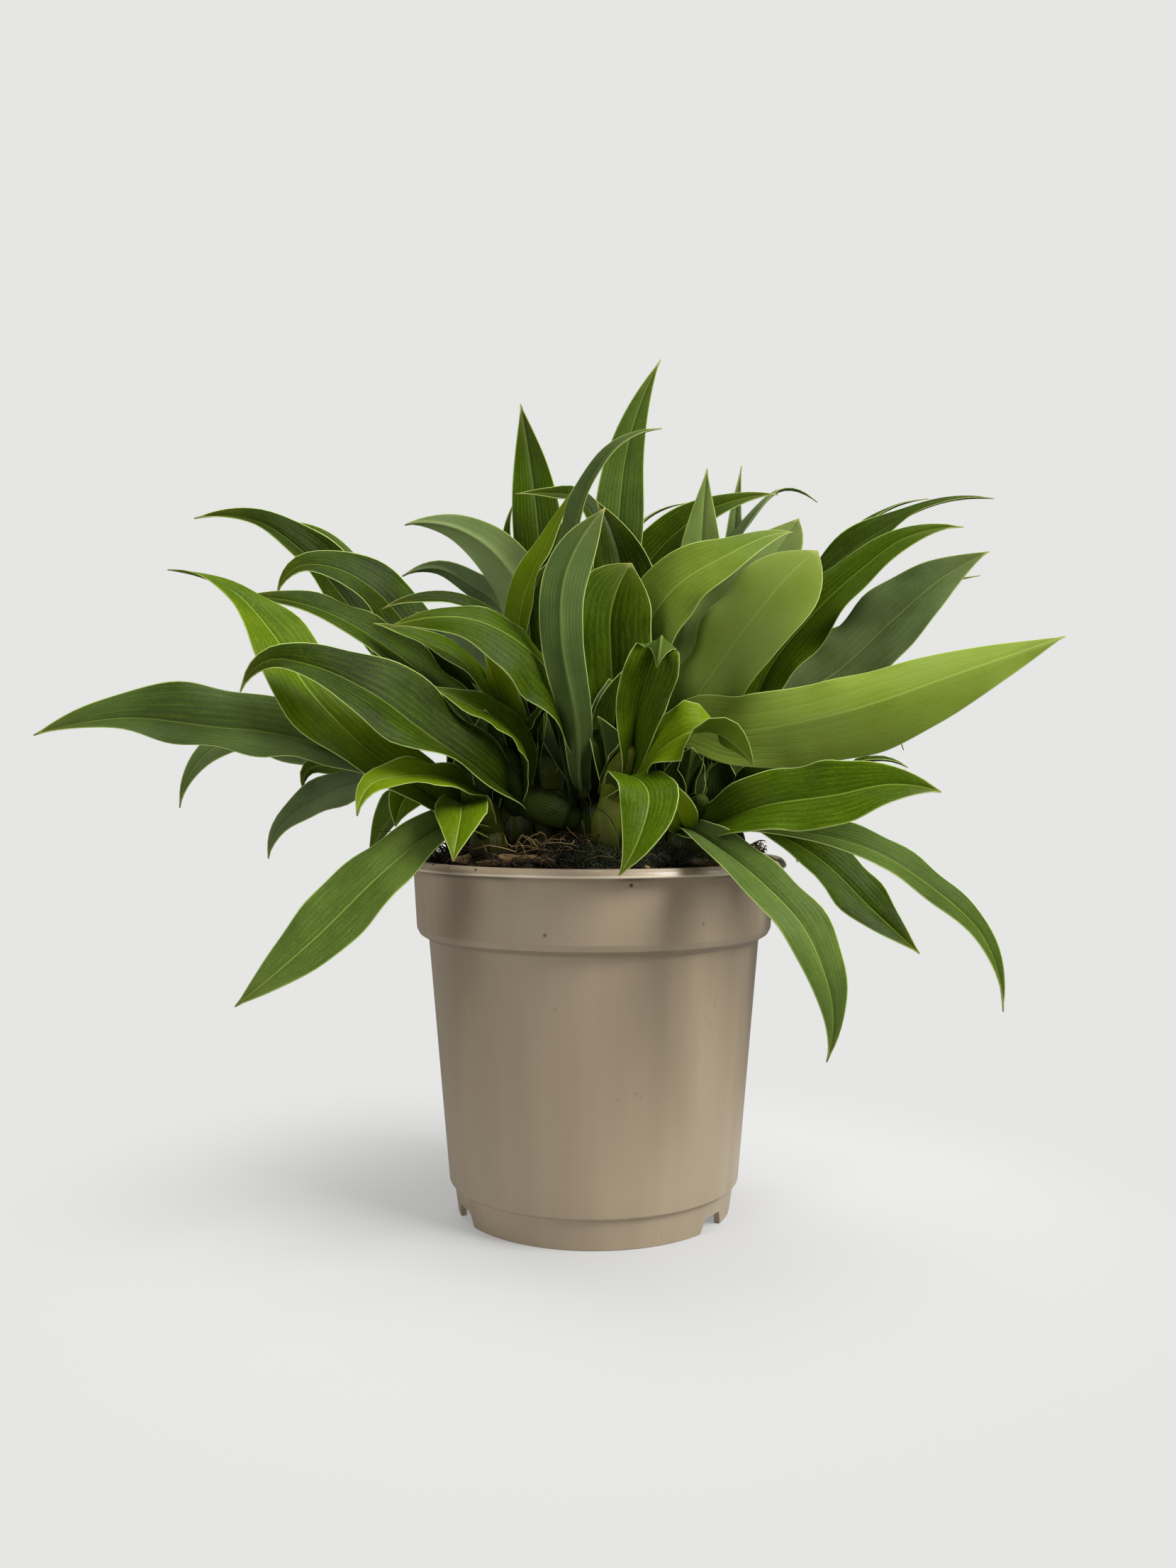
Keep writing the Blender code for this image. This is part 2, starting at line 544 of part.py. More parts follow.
def add_blade(name, form, crown, collection):
    """One leaf: a grid bent to the blade's surface, cut into triangles and given its thickness."""
    start = leaf_start(form, crown)
    chords = np.diff(np.array([start, *form["rib"]], float), axis=0)
    length = np.linalg.norm(chords, axis=1).sum()
    along = int(np.clip(round(length / SEGMENT), 4, 11))
    across = 4 if form["width"] >= BROAD else 2
    points = blade_surface(form, start, along + 1, across + 1)
    bm = bmesh.new()
    bmesh.ops.create_grid(bm, x_segments=across, y_segments=along, size=1.0)
    bm.verts.ensure_lookup_table()
    for vert, point in zip(bm.verts, points.reshape(-1, 3)):
        vert.co = point * MM
    bmesh.ops.triangulate(bm, faces=bm.faces[:])
    mesh = bpy.data.meshes.new(name)
    bm.to_mesh(mesh)
    bm.free()
    obj = add_object(name, mesh, collection)
    wall = obj.modifiers.new("thickness", "SOLIDIFY")
    wall.thickness = BLADE * MM
    wall.offset = 0.0
    wall.use_even_offset = False
    return obj


def build_growth(name, form, parts, finish):
    """One growth: its bulbs and leaves joined into one solid."""
    limbs = new_collection(f"{name}_limbs")
    for number, (foot, top, radius) in enumerate(form["bulbs"][1:]):
        add_bulb(f"{name}_bulb_{number}", foot, top, radius, limbs)
    for number, blade in enumerate(form["leaves"]):
        add_blade(f"{name}_leaf_{number}", blade, form["crown"], limbs)
    body = add_bulb(name, *form["bulbs"][0], parts)
    body.data.materials.append(finish)
    boolean(body, "UNION", limbs, "MANIFOLD")
    apply_modifiers(body)
    keep_outer_shell(body.data)
    empty_collection(limbs)
    body.data.transform(body.matrix_world)
    body.matrix_world = Matrix()
    body.data.shade_smooth()
    body.data.set_sharp_from_angle(angle=math.radians(50.0))
    return body


def add_chips(collection):
    """Bark chips scattered over the heap, sunk in and clear of the bulbs."""
    draw = random.Random(CHIP_SEED)
    feet = [bulb[0] for form in GROWTHS.values() for bulb in form["bulbs"][:1]]
    placed = 0
    while placed < CHIPS:
        angle = draw.uniform(0.0, 2.0 * math.pi)
        reach = draw.uniform(14.0, 47.0)
        x, y = reach * math.cos(angle), reach * math.sin(angle)
        if min(math.hypot(x - foot[0], y - foot[1]) for foot in feet) < 11.0:
            continue
        size = Vector((draw.uniform(6.0, 10.0), draw.uniform(4.0, 6.0), 4.0))
        bm = bmesh.new()
        bmesh.ops.create_cube(bm, size=1.0)
        bmesh.ops.scale(bm, vec=size * MM, verts=bm.verts)
        mesh = bpy.data.meshes.new("chip")
        bm.to_mesh(mesh)
        bm.free()
        chip = add_object(f"chip_{placed}", mesh, collection)
        chip.location = (x * MM, y * MM, (float(mix_height(x, y)) - 0.4) * MM)
        chip.rotation_euler = (draw.uniform(-0.25, 0.25), draw.uniform(-0.25, 0.25),
                               draw.uniform(0.0, math.pi))
        placed += 1


def mix_body(parts, finish):
    """The mix as one turned body whose top is then raised to its heaped form."""
    floor = FLOOR_RAISE + FLOOR_THICKNESS + GAP
    top_reach = inner_radius(MIX_EDGE) - GAP
    rings = [(top_reach * ring / MIX_RINGS, MIX_EDGE) for ring in range(MIX_RINGS + 1)]
    wall = [(radius - GAP, height) for radius, height in reversed(inner_wall()[1:-1])]
    wall += [(inner_radius(floor) - GAP, floor), (0.0, floor)]
    body = turned("potting_mix", rings + wall, MIX_STEPS, parts, finish)
    apply_modifiers(body)
    points = np.empty(len(body.data.vertices) * 3)
    body.data.vertices.foreach_get("co", points)
    points = points.reshape(-1, 3)
    top = points[:, 2] > (MIX_EDGE - 0.5) * MM
    points[top, 2] = mix_height(points[top, 0] / MM, points[top, 1] / MM) * MM
    body.data.vertices.foreach_set("co", points.ravel())
    body.data.update()
    return body


def build_mix(parts, finish):
    """The potting mix: the heaped body with its bark chips, and a plain hole for each bulb's foot."""
    body = mix_body(parts, finish)
    chips = new_collection("chips")
    add_chips(chips)
    boolean(body, "UNION", chips, "MANIFOLD")
    apply_modifiers(body)
    empty_collection(chips)
    holes = new_collection("mix_cutters")
    for name, form in GROWTHS.items():
        hide_cutter(add_bulb(f"{name}_hole_cutter", *form["bulbs"][0], holes, HOLE_GAP))
    boolean(body, "DIFFERENCE", holes, "MANIFOLD")
    return body


def main():
    clear_scene()
    parts = new_collection("potted_orchid")
    build_pot(parts, material("moulded_polypropylene", POT_COLOUR, 0.42))
    build_mix(parts, material("bark_mix", MIX_COLOUR, 0.95))
    foliage = material("leaf", LEAF_COLOUR, 0.45)
    for name, form in GROWTHS.items():
        build_growth(name, form, parts, foliage)


main()
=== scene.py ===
"""Looks of the potted orchid: a young clump of leafy growths in a round nursery pot.

The file is laid out as a Blender add-on. X runs to the right, the front faces -Y and +Z is up.
Sizes in the functions are in millimetres. The meshes, the settings and the stage are in metres.
"""

import functools
import json
import math
import random

import bpy
import numpy as np
from bpy.props import FloatProperty, FloatVectorProperty, IntProperty, PointerProperty
from bpy.types import Operator, Panel, PropertyGroup
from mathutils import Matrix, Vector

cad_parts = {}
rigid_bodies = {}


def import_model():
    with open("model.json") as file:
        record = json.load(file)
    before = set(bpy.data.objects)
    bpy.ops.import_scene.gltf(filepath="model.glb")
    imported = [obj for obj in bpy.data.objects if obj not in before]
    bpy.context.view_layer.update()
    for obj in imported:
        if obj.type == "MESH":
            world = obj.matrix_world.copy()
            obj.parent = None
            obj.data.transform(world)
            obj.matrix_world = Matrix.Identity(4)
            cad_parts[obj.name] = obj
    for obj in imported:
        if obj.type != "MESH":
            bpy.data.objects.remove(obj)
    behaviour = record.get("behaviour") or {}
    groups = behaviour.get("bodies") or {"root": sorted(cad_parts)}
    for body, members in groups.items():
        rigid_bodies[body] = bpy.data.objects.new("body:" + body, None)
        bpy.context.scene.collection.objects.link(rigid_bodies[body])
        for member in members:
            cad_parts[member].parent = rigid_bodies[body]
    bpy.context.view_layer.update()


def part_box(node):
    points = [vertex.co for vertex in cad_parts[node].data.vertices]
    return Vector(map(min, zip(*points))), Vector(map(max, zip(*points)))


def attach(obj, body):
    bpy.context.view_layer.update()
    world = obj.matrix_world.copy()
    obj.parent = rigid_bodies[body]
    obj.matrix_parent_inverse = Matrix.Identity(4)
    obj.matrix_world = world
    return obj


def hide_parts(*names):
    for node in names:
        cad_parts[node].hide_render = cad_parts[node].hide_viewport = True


bl_info = {
    "name": "Potted orchid",
    "version": (1, 0, 0),
    "blender": (4, 5, 0),
    "location": "View3D > Sidebar > Orchid",
    "description": "Builds a young leafy orchid clump in its nursery pot",
    "category": "Add Mesh",
}

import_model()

MM = 0.001
TAU = 2.0 * math.pi

# Pot: the rim and the height come from the frame, the rest is as in the solid
POT_LOW, POT_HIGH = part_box("pot")
RIM_RADIUS = (POT_HIGH[0] - POT_LOW[0]) / 2.0 / MM
POT_HEIGHT = POT_HIGH[2] / MM
WALL = 1.2
FLOOR_THICKNESS = 1.4
PAD_RADIUS = 8.0
FLOOR_RAISE = 4.0
FOOT_BOTTOM_RADIUS = 42.3
FOOT_TOP_RADIUS = 43.5
FOOT_HEIGHT = 8.8
FOOT_WALL = 1.7
BODY_BOTTOM_RADIUS = 45.0
BODY_BOTTOM = 9.8
BODY_TOP_RADIUS = 51.4
BODY_TOP = 84.4
COLLAR_BOTTOM_RADIUS = 55.1
COLLAR_BOTTOM = 87.8
COLLAR_TOP_RADIUS = 56.2
LIP_BOTTOM = 106.4
LIP_TOP_RADIUS = 58.6
CORNER_RADIUS = 0.3
DRAIN_HOLES = 6
DRAIN_HOLE_RADIUS = 3.0
DRAIN_CIRCLE = 29.0
NOTCHES = 3
NOTCH_ANGLE = 205.0
NOTCH_HALF_WIDTH = 5.6
NOTCH_TOP_HALF_WIDTH = 4.1
NOTCH_TOP = 4.5
NOTCH_ROUNDING = 1.2

# Potting mix: bark and fibre heaped a little above the rim, clear of the wall by the gap
GAP = 0.6
MIX_EDGE = 106.0
MIX_MIDDLE = 114.5
MIX_BUMP = 0.7
MIX_RINGS = 64
MIX_STEPS = 180
LARGE_CHIPS = 12

# Fine unevenness of the mix: how many sine waves make it, the shortest and the longest, and their height
CRUMB_WAVES = 36
CRUMB_LENGTHS = (3.0, 12.0)
CRUMB_HEIGHT = 0.1

# Edges of the pot and of the chips that turn more than so many degrees stay hard
POT_EDGE = 38.0
CHIP_EDGE = 35.0

# Seeds of the random draws. The large chips' seed is the same as in the solids
CHIP_SEED = 11
CRUMB_SEED = 5
BROKEN_SEED = 12
FIBRE_SEED = 17
GROWTH_SEED = 100

# Bulbs: shares of a bulb's length, its share of the full radius at each, the shallow ribs round it, and
# the heights between which its brown papery foot gives way to living skin
BULB_STEPS = (0.0, 0.18, 0.40, 0.62, 0.82, 0.95, 1.0)
BULB_SHARES = (0.45, 0.80, 1.0, 0.92, 0.66, 0.48, 0.24)
BULB_RIBS = 11
RIB_DEPTH = 0.03
PAPER_TOP = 112.0
SKIN_BOTTOM = 122.0

# Sheaths: how many wrap a bulb, how far each is turned from the last in radians, where one starts up
# the bulb, how far off the bulb it lies, and half its thickness
SHEATHS = 2
SHEATH_TURN = 2.4
SHEATH_START = 0.15
SHEATH_OFF = 0.35
SHEATH_SKIN = 0.13

# Stems: how far below the crown one starts, how far above it ends, and its radius
STEM_BELOW = 4.0
STEM_ABOVE = 18.0
STEM_RADIUS = 4.6

# Blades: how far from the crown a stalk starts, the least half width, which is the tip's, the half width
# that the heights of ripples and pleats are given for, the power that draws a blade in at both ends, and
# the fewest and the most rows of faces
STALK_OUT = 2.4
TIP_HALF_WIDTH = 0.2
BROAD_HALF_WIDTH = 12.0
DRAWN_IN = 1.15
FEWEST_ROWS = 14
MOST_ROWS = 64

# Relief of a blade: half waves of soft pleats from midrib to margin and their height, the groove along
# the midrib, the keel under it, and the shares of its thickness that go towards margin and tip
PLEATS = 6.5
PLEAT_HEIGHT = 0.10
GROOVE_DEPTH = 0.28
GROOVE_WIDTH = 0.55
KEEL_HEIGHT = 0.4
KEEL_WIDTH = 0.5
MARGIN_THINNER = 0.65
TIP_THINNER = 0.5

# Young leaves: how many close each crown, and their share of an old leaf's rows and columns of faces
YOUNG_LEAVES = 3
YOUNG_FACES = 0.55

# Camera: the photo's focal length and height in pixels, the sensor that goes with them, and how many
# degrees it looks down
FOCAL_PIXELS = 1840.0
IMAGE_HEIGHT = 2212.0
SENSOR = 36.0
TILT = 0.22


def linear(code):
    """An sRGB hex colour as linear red, green, blue and alpha."""
    parts = [int(code[place:place + 2], 16) / 255.0 for place in (1, 3, 5)]
    return (*(part / 12.92 if part <= 0.04045 else ((part + 0.055) / 1.055) ** 2.4 for part in parts), 1.0)


def leaf(rib, width, roll=(0, 0), tone=0.4, **form):
    """One blade: points along its midrib, its width, its roll at even steps from base to tip, and its
    tone from dark, 0, to yellow-green, 1.

    base is the stalk's share of the width, widest where the blade is broadest, tail how blunt the
    tip is. fold gives how steeply the halves rise at the base and beyond the middle, wave its
    height, count and phase, and bow how far the halves curl back. bearing is the way it leans out, in
    degrees, where its points don't give that: the upper side faces back from there. The last setting is
    how much painted sheen, a pale grey-green mixed into the colour, lies on it.
    """
    made = dict(base=0.42, widest=0.58, tail=1.7, fold=(50, 16), wave=(0.0, 2.0, 0.0), bow=0.1,
                bearing=None, bloom=0.0)
    made.update(form, rib=rib, width=width, roll=roll, tone=tone)
    return made


def growth(crown, bulbs, *leaves):
    """One leafy growth: the crown that its leaves rise from, its bulbs as foot, top and radius, and its
    leaves."""
    return dict(crown=crown, bulbs=bulbs, leaves=leaves)


GROWTHS = {
    "growth_left": growth(
        (-40, 2, 122), [((-38, 2, 104), (-41, 2, 125.5), 7.0)],
        leaf([(-89, -10, 145), (-115, -20, 149), (-138, -30, 151), (-160, -38, 146)], 28, (-50, -58, -50),
             0.3, fold=(40, 30), widest=0.6, tail=1.6, wave=(1.8, 3.2, 0.1), bloom=0.2),
        leaf([(-63, 4, 134), (-74, -1, 132), (-88, -5, 126), (-97, -8, 118), (-100, -10, 109)], 14,
             (-30, -60), 0.2, bloom=0.7),
        leaf([(-63, 8, 137), (-81, 6, 138), (-90, 4, 137), (-92, 2, 130)], 14, (50, 50), 0.5),
        leaf([(-52, -10, 131), (-57, -14, 128), (-60, -16, 119)], 14, (-50, -50), 0.4),
    ),
    "growth_left_back": growth(
        (-31, 22, 122), [((-29, 20, 105), (-32, 23, 125.5), 7.0)],
        leaf([(-98, 22, 143), (-112, 18, 148), (-124, 14, 143), (-131, 12, 134), (-134, 12, 124)], 15,
             (-20, -80), 0.35, bloom=0.4),
        leaf([(-82, 12, 193), (-93, 6, 206), (-107, 2, 215), (-125, -2, 215)], 22, (-50, -50), 0.0,
             fold=(40, 28)),
        leaf([(-77, 26, 192), (-84, 26, 207), (-92, 24, 215), (-103, 22, 219)], 17, (-50, -50), 0.3),
        leaf([(-44, 44, 150), (-66, 74, 164), (-84, 98, 154)], 24, tone=0.35),
        leaf([(-42, 44, 134), (-66, 66, 128), (-84, 78, 104)], 22, tone=0.45),
        leaf([(-60, 40, 158), (-88, 52, 176), (-112, 58, 182)], 22, tone=0.3),
        leaf([(-36, 46, 168), (-48, 64, 188), (-58, 74, 196)], 21, tone=0.55),
    ),
    "growth_front_left": growth(
        (-30, -31, 119), [((-30, -32, 105), (-30.5, -31, 122.5), 5.5)],
        leaf([(-42, -48, 120), (-56, -60, 109), (-74, -68, 91), (-94, -70, 74)], 18, (-40, -55), 0.5,
             tail=2.0, bloom=0.2),
        leaf([(-47, -46, 130), (-63, -54, 142), (-78, -56, 158), (-89, -52, 174), (-101, -49, 186),
             (-119, -46, 192)], 24, (-55, -55, -55, -40, 0), 0.55, fold=(40, 16)),
        leaf([(-36, -50, 126), (-36, -62, 122), (-37, -70, 112)], 15, tone=0.6, bearing=-90),
        leaf([(-34, -48, 129), (-41, -60, 134), (-51, -68, 134), (-58, -72, 132), (-61, -76, 124)], 14,
             (-40, -30), 0.75),
    ),
    "growth_front_left_upper": growth(
        (-23, -31, 127), [((-13, -32, 106), (-15, -32, 123), 3.6), ((-4, -33, 121), (-26, -31, 129), 5.2)],
        leaf([(-31, -50, 135), (-46, -60, 146), (-59, -66, 156), (-74, -70, 163), (-85, -72, 164),
             (-92, -72, 156)], 28, (-50, -50, -60, -50), 0.05, fold=(45, 20), widest=0.5, tail=1.3),
        leaf([(-21, -40, 143), (-27, -45, 150), (-35, -49, 154), (-45, -52, 159)], 16, (-50, -50), 0.45),
    ),
    "growth_inner_left": growth(
        (-20, -8, 132), [((-18, -8, 106), (-20, -8, 135.5), 6.5)],
        leaf([(-42, -22, 156), (-58, -28, 170), (-76, -33, 181), (-90, -35, 185), (-103, -36, 185)], 21,
             (-30, -40), 0.12),
        leaf([(-58, -8, 181), (-67, -12, 191), (-78, -16, 197), (-88, -20, 197), (-94, -24, 188)], 22,
             (-50, -50), 0.05),
        leaf([(-23, -8, 182), (-19, -6, 197), (-14, -4, 208), (-6, -2, 225)], 15, (20, 20), 0.7),
        leaf([(-22, -16, 170), (-32, -20, 182), (-42, -24, 186), (-52, -28, 186), (-62, -30, 183)], 16,
             (-30, -30), 0.0),
        leaf([(-29, -30, 154), (-38, -34, 167), (-49, -36, 173), (-63, -38, 178)], 18, (-40, -40), 0.3),
        leaf([(-26, -26, 154), (-28, -28, 162), (-32, -30, 170)], 12, tone=1.0, bearing=90),
        leaf([(-32, -12, 163), (-43, -10, 176), (-55, -8, 185)], 16, (40, 40), 0.6, bloom=1.0),
    ),
    "growth_middle_left": growth(
        (-14, 13, 130), [((-13, 12, 107), (-14, 13, 133.5), 6.0)],
        leaf([(-17, 18, 189), (-18, 18, 212), (-20, 19, 231), (-24, 20, 257)], 17, tone=0.2, bearing=90,
             widest=0.66, tail=1.9),
        leaf([(-28, 26, 204), (-29, 26, 217), (-26, 26, 226)], 9, tone=0.3),
        leaf([(-22, 10, 190), (-31, 8, 205), (-43, 6, 213), (-54, 5, 215), (-60, 4, 214)], 19, (70, 60),
             1.0, bloom=1.0),
        leaf([(-30, 18, 189), (-40, 16, 197), (-51, 14, 202), (-62, 12, 199)], 14, (60, 50), 0.35,
             bloom=0.7),
        leaf([(-22, 30, 166), (-30, 52, 190), (-38, 66, 194)], 21, tone=0.35),
    ),
    "growth_middle": growth(
        (5, 13, 130), [((5, 12, 107), (5, 13, 133.5), 6.5)],
        leaf([(1, 4, 214), (-6, 4, 223), (-13, 4, 224), (-25, 4, 224)], 15, (-55, -55), 0.0),
        leaf([(6, 10, 190), (8, 12, 216), (10, 14, 236), (14, 15, 252), (22, 18, 271)], 17, tone=0.3,
             bearing=90, bloom=0.1),
        leaf([(7, 2, 178), (9, 4, 196), (6, 5, 211), (1, 6, 222)], 27, tone=0.0, bearing=90),
        leaf([(11, 8, 190), (21, 10, 207), (35, 12, 219), (47, 13, 224), (60, 14, 226)], 18, (60, 55), 0.18),
        leaf([(-6, 34, 176), (-8, 58, 200), (-4, 74, 206)], 21, tone=0.3),
    ),
    "growth_centre": growth(
        (-2, -16, 128), [((-1, -15, 107), (-2, -16, 131.5), 6.5)],
        leaf([(-8, -20, 198), (-5, -22, 211), (0, -23, 224), (8, -24, 233), (20, -25, 237)], 17, (60, 40),
             0.3, bloom=0.3),
        leaf([(-4, -36, 133), (-5, -44, 149), (-9, -50, 172), (-8, -48, 190), (3, -40, 210)], 13, tone=0.3,
             bearing=-90, widest=0.76, tail=2.4, base=0.35, bloom=0.15),
        leaf([(6, -26, 146), (5, -30, 166), (5, -30, 183), (11, -26, 197)], 25, tone=0.25, bearing=90,
             widest=0.72, tail=3.0),
        leaf([(-18, 2, 166), (-20, 4, 188), (-14, 6, 203)], 15, tone=0.0, bearing=90),
        leaf([(-8, -34, 150), (-14, -44, 165), (-27, -50, 175), (-39, -52, 178), (-56, -54, 175)], 26,
             (-60, -45), 0.22, fold=(45, -8), widest=0.5),
        leaf([(5, -34, 141), (6, -38, 153), (11, -38, 167)], 14, tone=0.0, bearing=90),
    ),
    "growth_inner_right": growth(
        (20, -3, 128), [((19, -3, 107), (20, -3, 131.5), 6.5)],
        leaf([(15, -22, 175), (24, -24, 190), (40, -24, 200), (52, -20, 206), (60, -16, 208)], 22, (70, 60),
             0.68, fold=(50, 8), bloom=0.15),
        leaf([(33, 2, 189), (34, 3, 209), (36, 4, 232)], 18, tone=0.6, bearing=90, bloom=0.4),
        leaf([(36, -8, 170), (44, -8, 188), (55, -7, 202), (64, -2, 215)], 25, tone=0.65, bearing=60,
             widest=0.72, tail=2.6, bloom=0.5),
        leaf([(28, -20, 153), (36, -28, 166), (46, -36, 180), (56, -38, 192), (64, -36, 199)], 30, (72, 78),
             1.0, fold=(50, 5), widest=0.72, tail=3.4, bloom=0.4),
        leaf([(28, -26, 149), (42, -42, 147), (69, -58, 152), (98, -62, 162), (127, -58, 172)], 24,
             (60, 80, 80), 1.0, fold=(45, -16), widest=0.6, bow=0.15, bloom=0.3),
    ),
    "growth_right_back": growth(
        (33, 18, 122), [((31, 17, 105), (33.5, 18.5, 125.5), 7.0)],
        leaf([(40, 22, 197), (52, 24, 219), (63, 26, 230), (75, 26, 226)], 14, (10, 10), 0.45, bloom=0.7),
        leaf([(62, 14, 156), (80, 12, 169), (97, 10, 185), (112, 8, 198), (126, 6, 206)], 27, (60, 60),
             0.45, widest=0.68, bloom=0.55),
        leaf([(85, 22, 180), (108, 22, 195), (128, 22, 201)], 12, (10, 10), 0.3, bloom=0.4),
        leaf([(66, 26, 185), (81, 26, 205), (99, 24, 218), (115, 22, 225), (132, 20, 226)], 20, (30, 20),
             0.12, widest=0.66),
        leaf([(87, 34, 215), (100, 34, 225), (114, 34, 229)], 10, (10, 10), 0.15, bloom=0.1),
        leaf([(55, 30, 119), (65, 33, 113), (70, 35, 105)], 14, (30, 30), 0.2),
        leaf([(80, 20, 143), (99, 22, 148), (103, 22, 143)], 8, (10, 10), 0.3),
        leaf([(52, 42, 150), (76, 68, 162), (98, 86, 150)], 24, tone=0.4),
        leaf([(60, 44, 164), (84, 56, 184), (104, 64, 192)], 21, tone=0.3),
        leaf([(48, 40, 134), (68, 62, 130), (86, 74, 108)], 21, tone=0.45),
    ),
    "growth_back_right": growth(
        (13, 36, 122), [((12, 34, 105), (13.5, 37, 125.5), 7.0)],
        leaf([(46, 30, 205), (48, 30, 224), (50, 30, 239)], 10, tone=0.45, bearing=90, bloom=0.45),
        leaf([(10, 30, 207), (17, 34, 221), (32, 36, 228)], 9, (10, 10), 0.55),
        leaf([(20, 60, 156), (30, 96, 170), (42, 128, 156)], 25, tone=0.35),
        leaf([(16, 62, 134), (12, 96, 128), (6, 118, 98)], 23, tone=0.5),
        leaf([(26, 52, 160), (42, 66, 182), (50, 74, 196)], 21, tone=0.6),
        leaf([(24, 56, 128), (44, 80, 124), (56, 98, 100)], 20, tone=0.4),
        leaf([(14, 54, 178), (16, 64, 200), (22, 72, 210)], 20, tone=0.25),
    ),
    "growth_front": growth(
        (5, -39, 129), [((5, -38, 105), (5, -39.5, 132.5), 5.5)],
        leaf([(13, -50, 135), (19, -57, 142), (26, -62, 146), (32, -64, 146), (38, -65, 142),
             (42, -66, 137)], 23, (50, 50, 50, 50, -45, -65), 0.7, widest=0.66, tail=1.4),
        leaf([(10, -60, 134), (14, -72, 129), (11, -79, 118), (6, -81, 109)], 16, tone=0.4, bearing=-90,
             fold=(30, 14)),
        leaf([(10, -46, 138), (12, -52, 153), (15.5, -55.5, 165), (18, -58, 172), (17.5, -62, 169),
             (16.5, -63, 163)], 20, tone=0.35, bearing=90, fold=(75, 42), widest=0.66, tail=1.4, base=0.26),
    ),
    "growth_right": growth(
        (41, -7, 120), [((39, -7, 104), (42, -7, 123.5), 6.0)],
        leaf([(54, 2, 165), (69, 1, 185), (85, 0, 200), (98, -2, 209), (115, -4, 212)], 22, (60, 40), 0.35,
             wave=(1.5, 2, 0)),
        leaf([(55, -14, 117), (68, -20, 109), (82, -24, 95), (96, -26, 82)], 18, (40, 50), 0.15),
        leaf([(46, -30, 131), (61, -36, 139), (86, -40, 145)], 18, (40, 40), 0.12),
        leaf([(66, -18, 129), (82, -22, 139), (93, -24, 137)], 13, (10, 10), 0.22),
    ),
    "growth_front_right": growth(
        (26, -31, 119), [((25, -30, 105), (26.5, -31.5, 122.5), 6.0)],
        leaf([(32, -44, 120), (46, -56, 126), (64, -62, 129), (79, -64, 132), (92, -64, 130)], 21, (60, 65),
             0.42),
        leaf([(32, -40, 119), (54, -44, 119), (76, -46, 114), (93, -46, 104), (109, -45, 89),
             (115, -44, 68)], 13, (40, 45), 0.3, wave=(1.2, 2.2, 0), bloom=0.1),
        leaf([(32, -54, 116), (43, -66, 107), (54, -72, 95), (60, -73, 81), (62, -71, 71), (61, -68, 59)],
             15, (30, 30, 20), 0.42, bloom=0.2),
        leaf([(24, -44, 123), (21, -50, 133)], 11, tone=0.9, bearing=90),
    ),
    "growth_back_left": growth(
        (-11, 37, 122), [((-10, 35, 105), (-11.5, 38, 125.5), 7.0)],
        leaf([(-14, 58, 158), (-22, 92, 176), (-28, 122, 166)], 25, tone=0.4),
        leaf([(-18, 60, 140), (-34, 92, 140), (-44, 124, 118)], 23, tone=0.3),
        leaf([(-6, 56, 170), (-4, 80, 196), (2, 96, 206)], 22, tone=0.5),
        leaf([(-20, 56, 122), (-32, 78, 112), (-40, 92, 88)], 20, tone=0.45),
        leaf([(-15, 56, 166), (-19, 67, 181), (-24, 75, 187)], 20, tone=0.65),
    ),
}


def metres(name, description, default):
    """A setting that holds a length."""
    return FloatProperty(name=name, description=description, default=default, unit="LENGTH")


def swatch(name, description, code):
    """A setting that holds a colour."""
    return FloatVectorProperty(name=name, description=description, default=linear(code), size=4,
                               subtype="COLOR")


class OrchidPotSettings(PropertyGroup):
    """Sizes and colours of the pot."""

    steps: IntProperty(name="Steps", description="Sides of the turned surface", default=240, min=32)
    colour: swatch("Plastic", "Taupe of the moulded plastic", "#a4937a")


class OrchidMixSettings(PropertyGroup):
    """Amounts and colours of the potting mix."""

    chips: IntProperty(name="Small chips", description="Bark chips beside the large ones", default=170, min=0)
    fibres: IntProperty(name="Fibres", description="Fine roots over the whole surface", default=700, min=0)
    damp: swatch("Damp bark", "Darkest colour of the mix", "#120d08")
    dry: swatch("Dry bark", "Colour of the driest chips", "#9a7c50")


class OrchidLeafSettings(PropertyGroup):
    """Sizes and colours of the leaves."""

    thickness: metres("Thickness", "Thickness of a blade beside its midrib", 0.0005)
    ripple: metres("Ripple", "Height of the margin's ripples on a broad leaf", 0.0016)
    row: metres("Row", "Length of one row of faces along a blade", 0.0024)
    columns: IntProperty(name="Columns", description="Faces across a blade", default=24, min=8)
    old: swatch("Old leaf", "Colour of the oldest leaves", "#1f2c05")
    middle: swatch("Grown leaf", "Colour between old and young", "#3f5606")
    young: swatch("Young leaf", "Colour of the youngest leaves", "#7d930f")
    under: swatch("Underside", "Colour of a leaf's underside", "#43532a")
    margin: swatch("Margin", "Pale line along a leaf's edge", "#a9ba6c")


class OrchidStageSettings(PropertyGroup):
    """The floor, the backdrop, the light and the camera."""

    pale: swatch("Backdrop", "Pale grey of floor and backdrop", "#e6e6e5")
    distance: metres("Camera distance", "From the pot's axis to the camera", 0.410)
    height: metres("Camera height", "Above the floor", 0.1334)
    aside: metres("Camera aside", "From the pot's axis to the right", -0.0018)


def grid_quads(rows, columns, closed=False):
    """Corner numbers of the faces of a grid stored row by row, each row joined to a ring if closed."""
    number = np.arange(rows * columns).reshape(rows, columns)
    here, above = number[:-1], number[1:]
    if closed:
        return np.stack([here, np.roll(here, -1, 1), np.roll(above, -1, 1), above], -1).reshape(-1, 4)
    return np.stack([here[:, :-1], here[:, 1:], above[:, 1:], above[:, :-1]], -1).reshape(-1, 4)


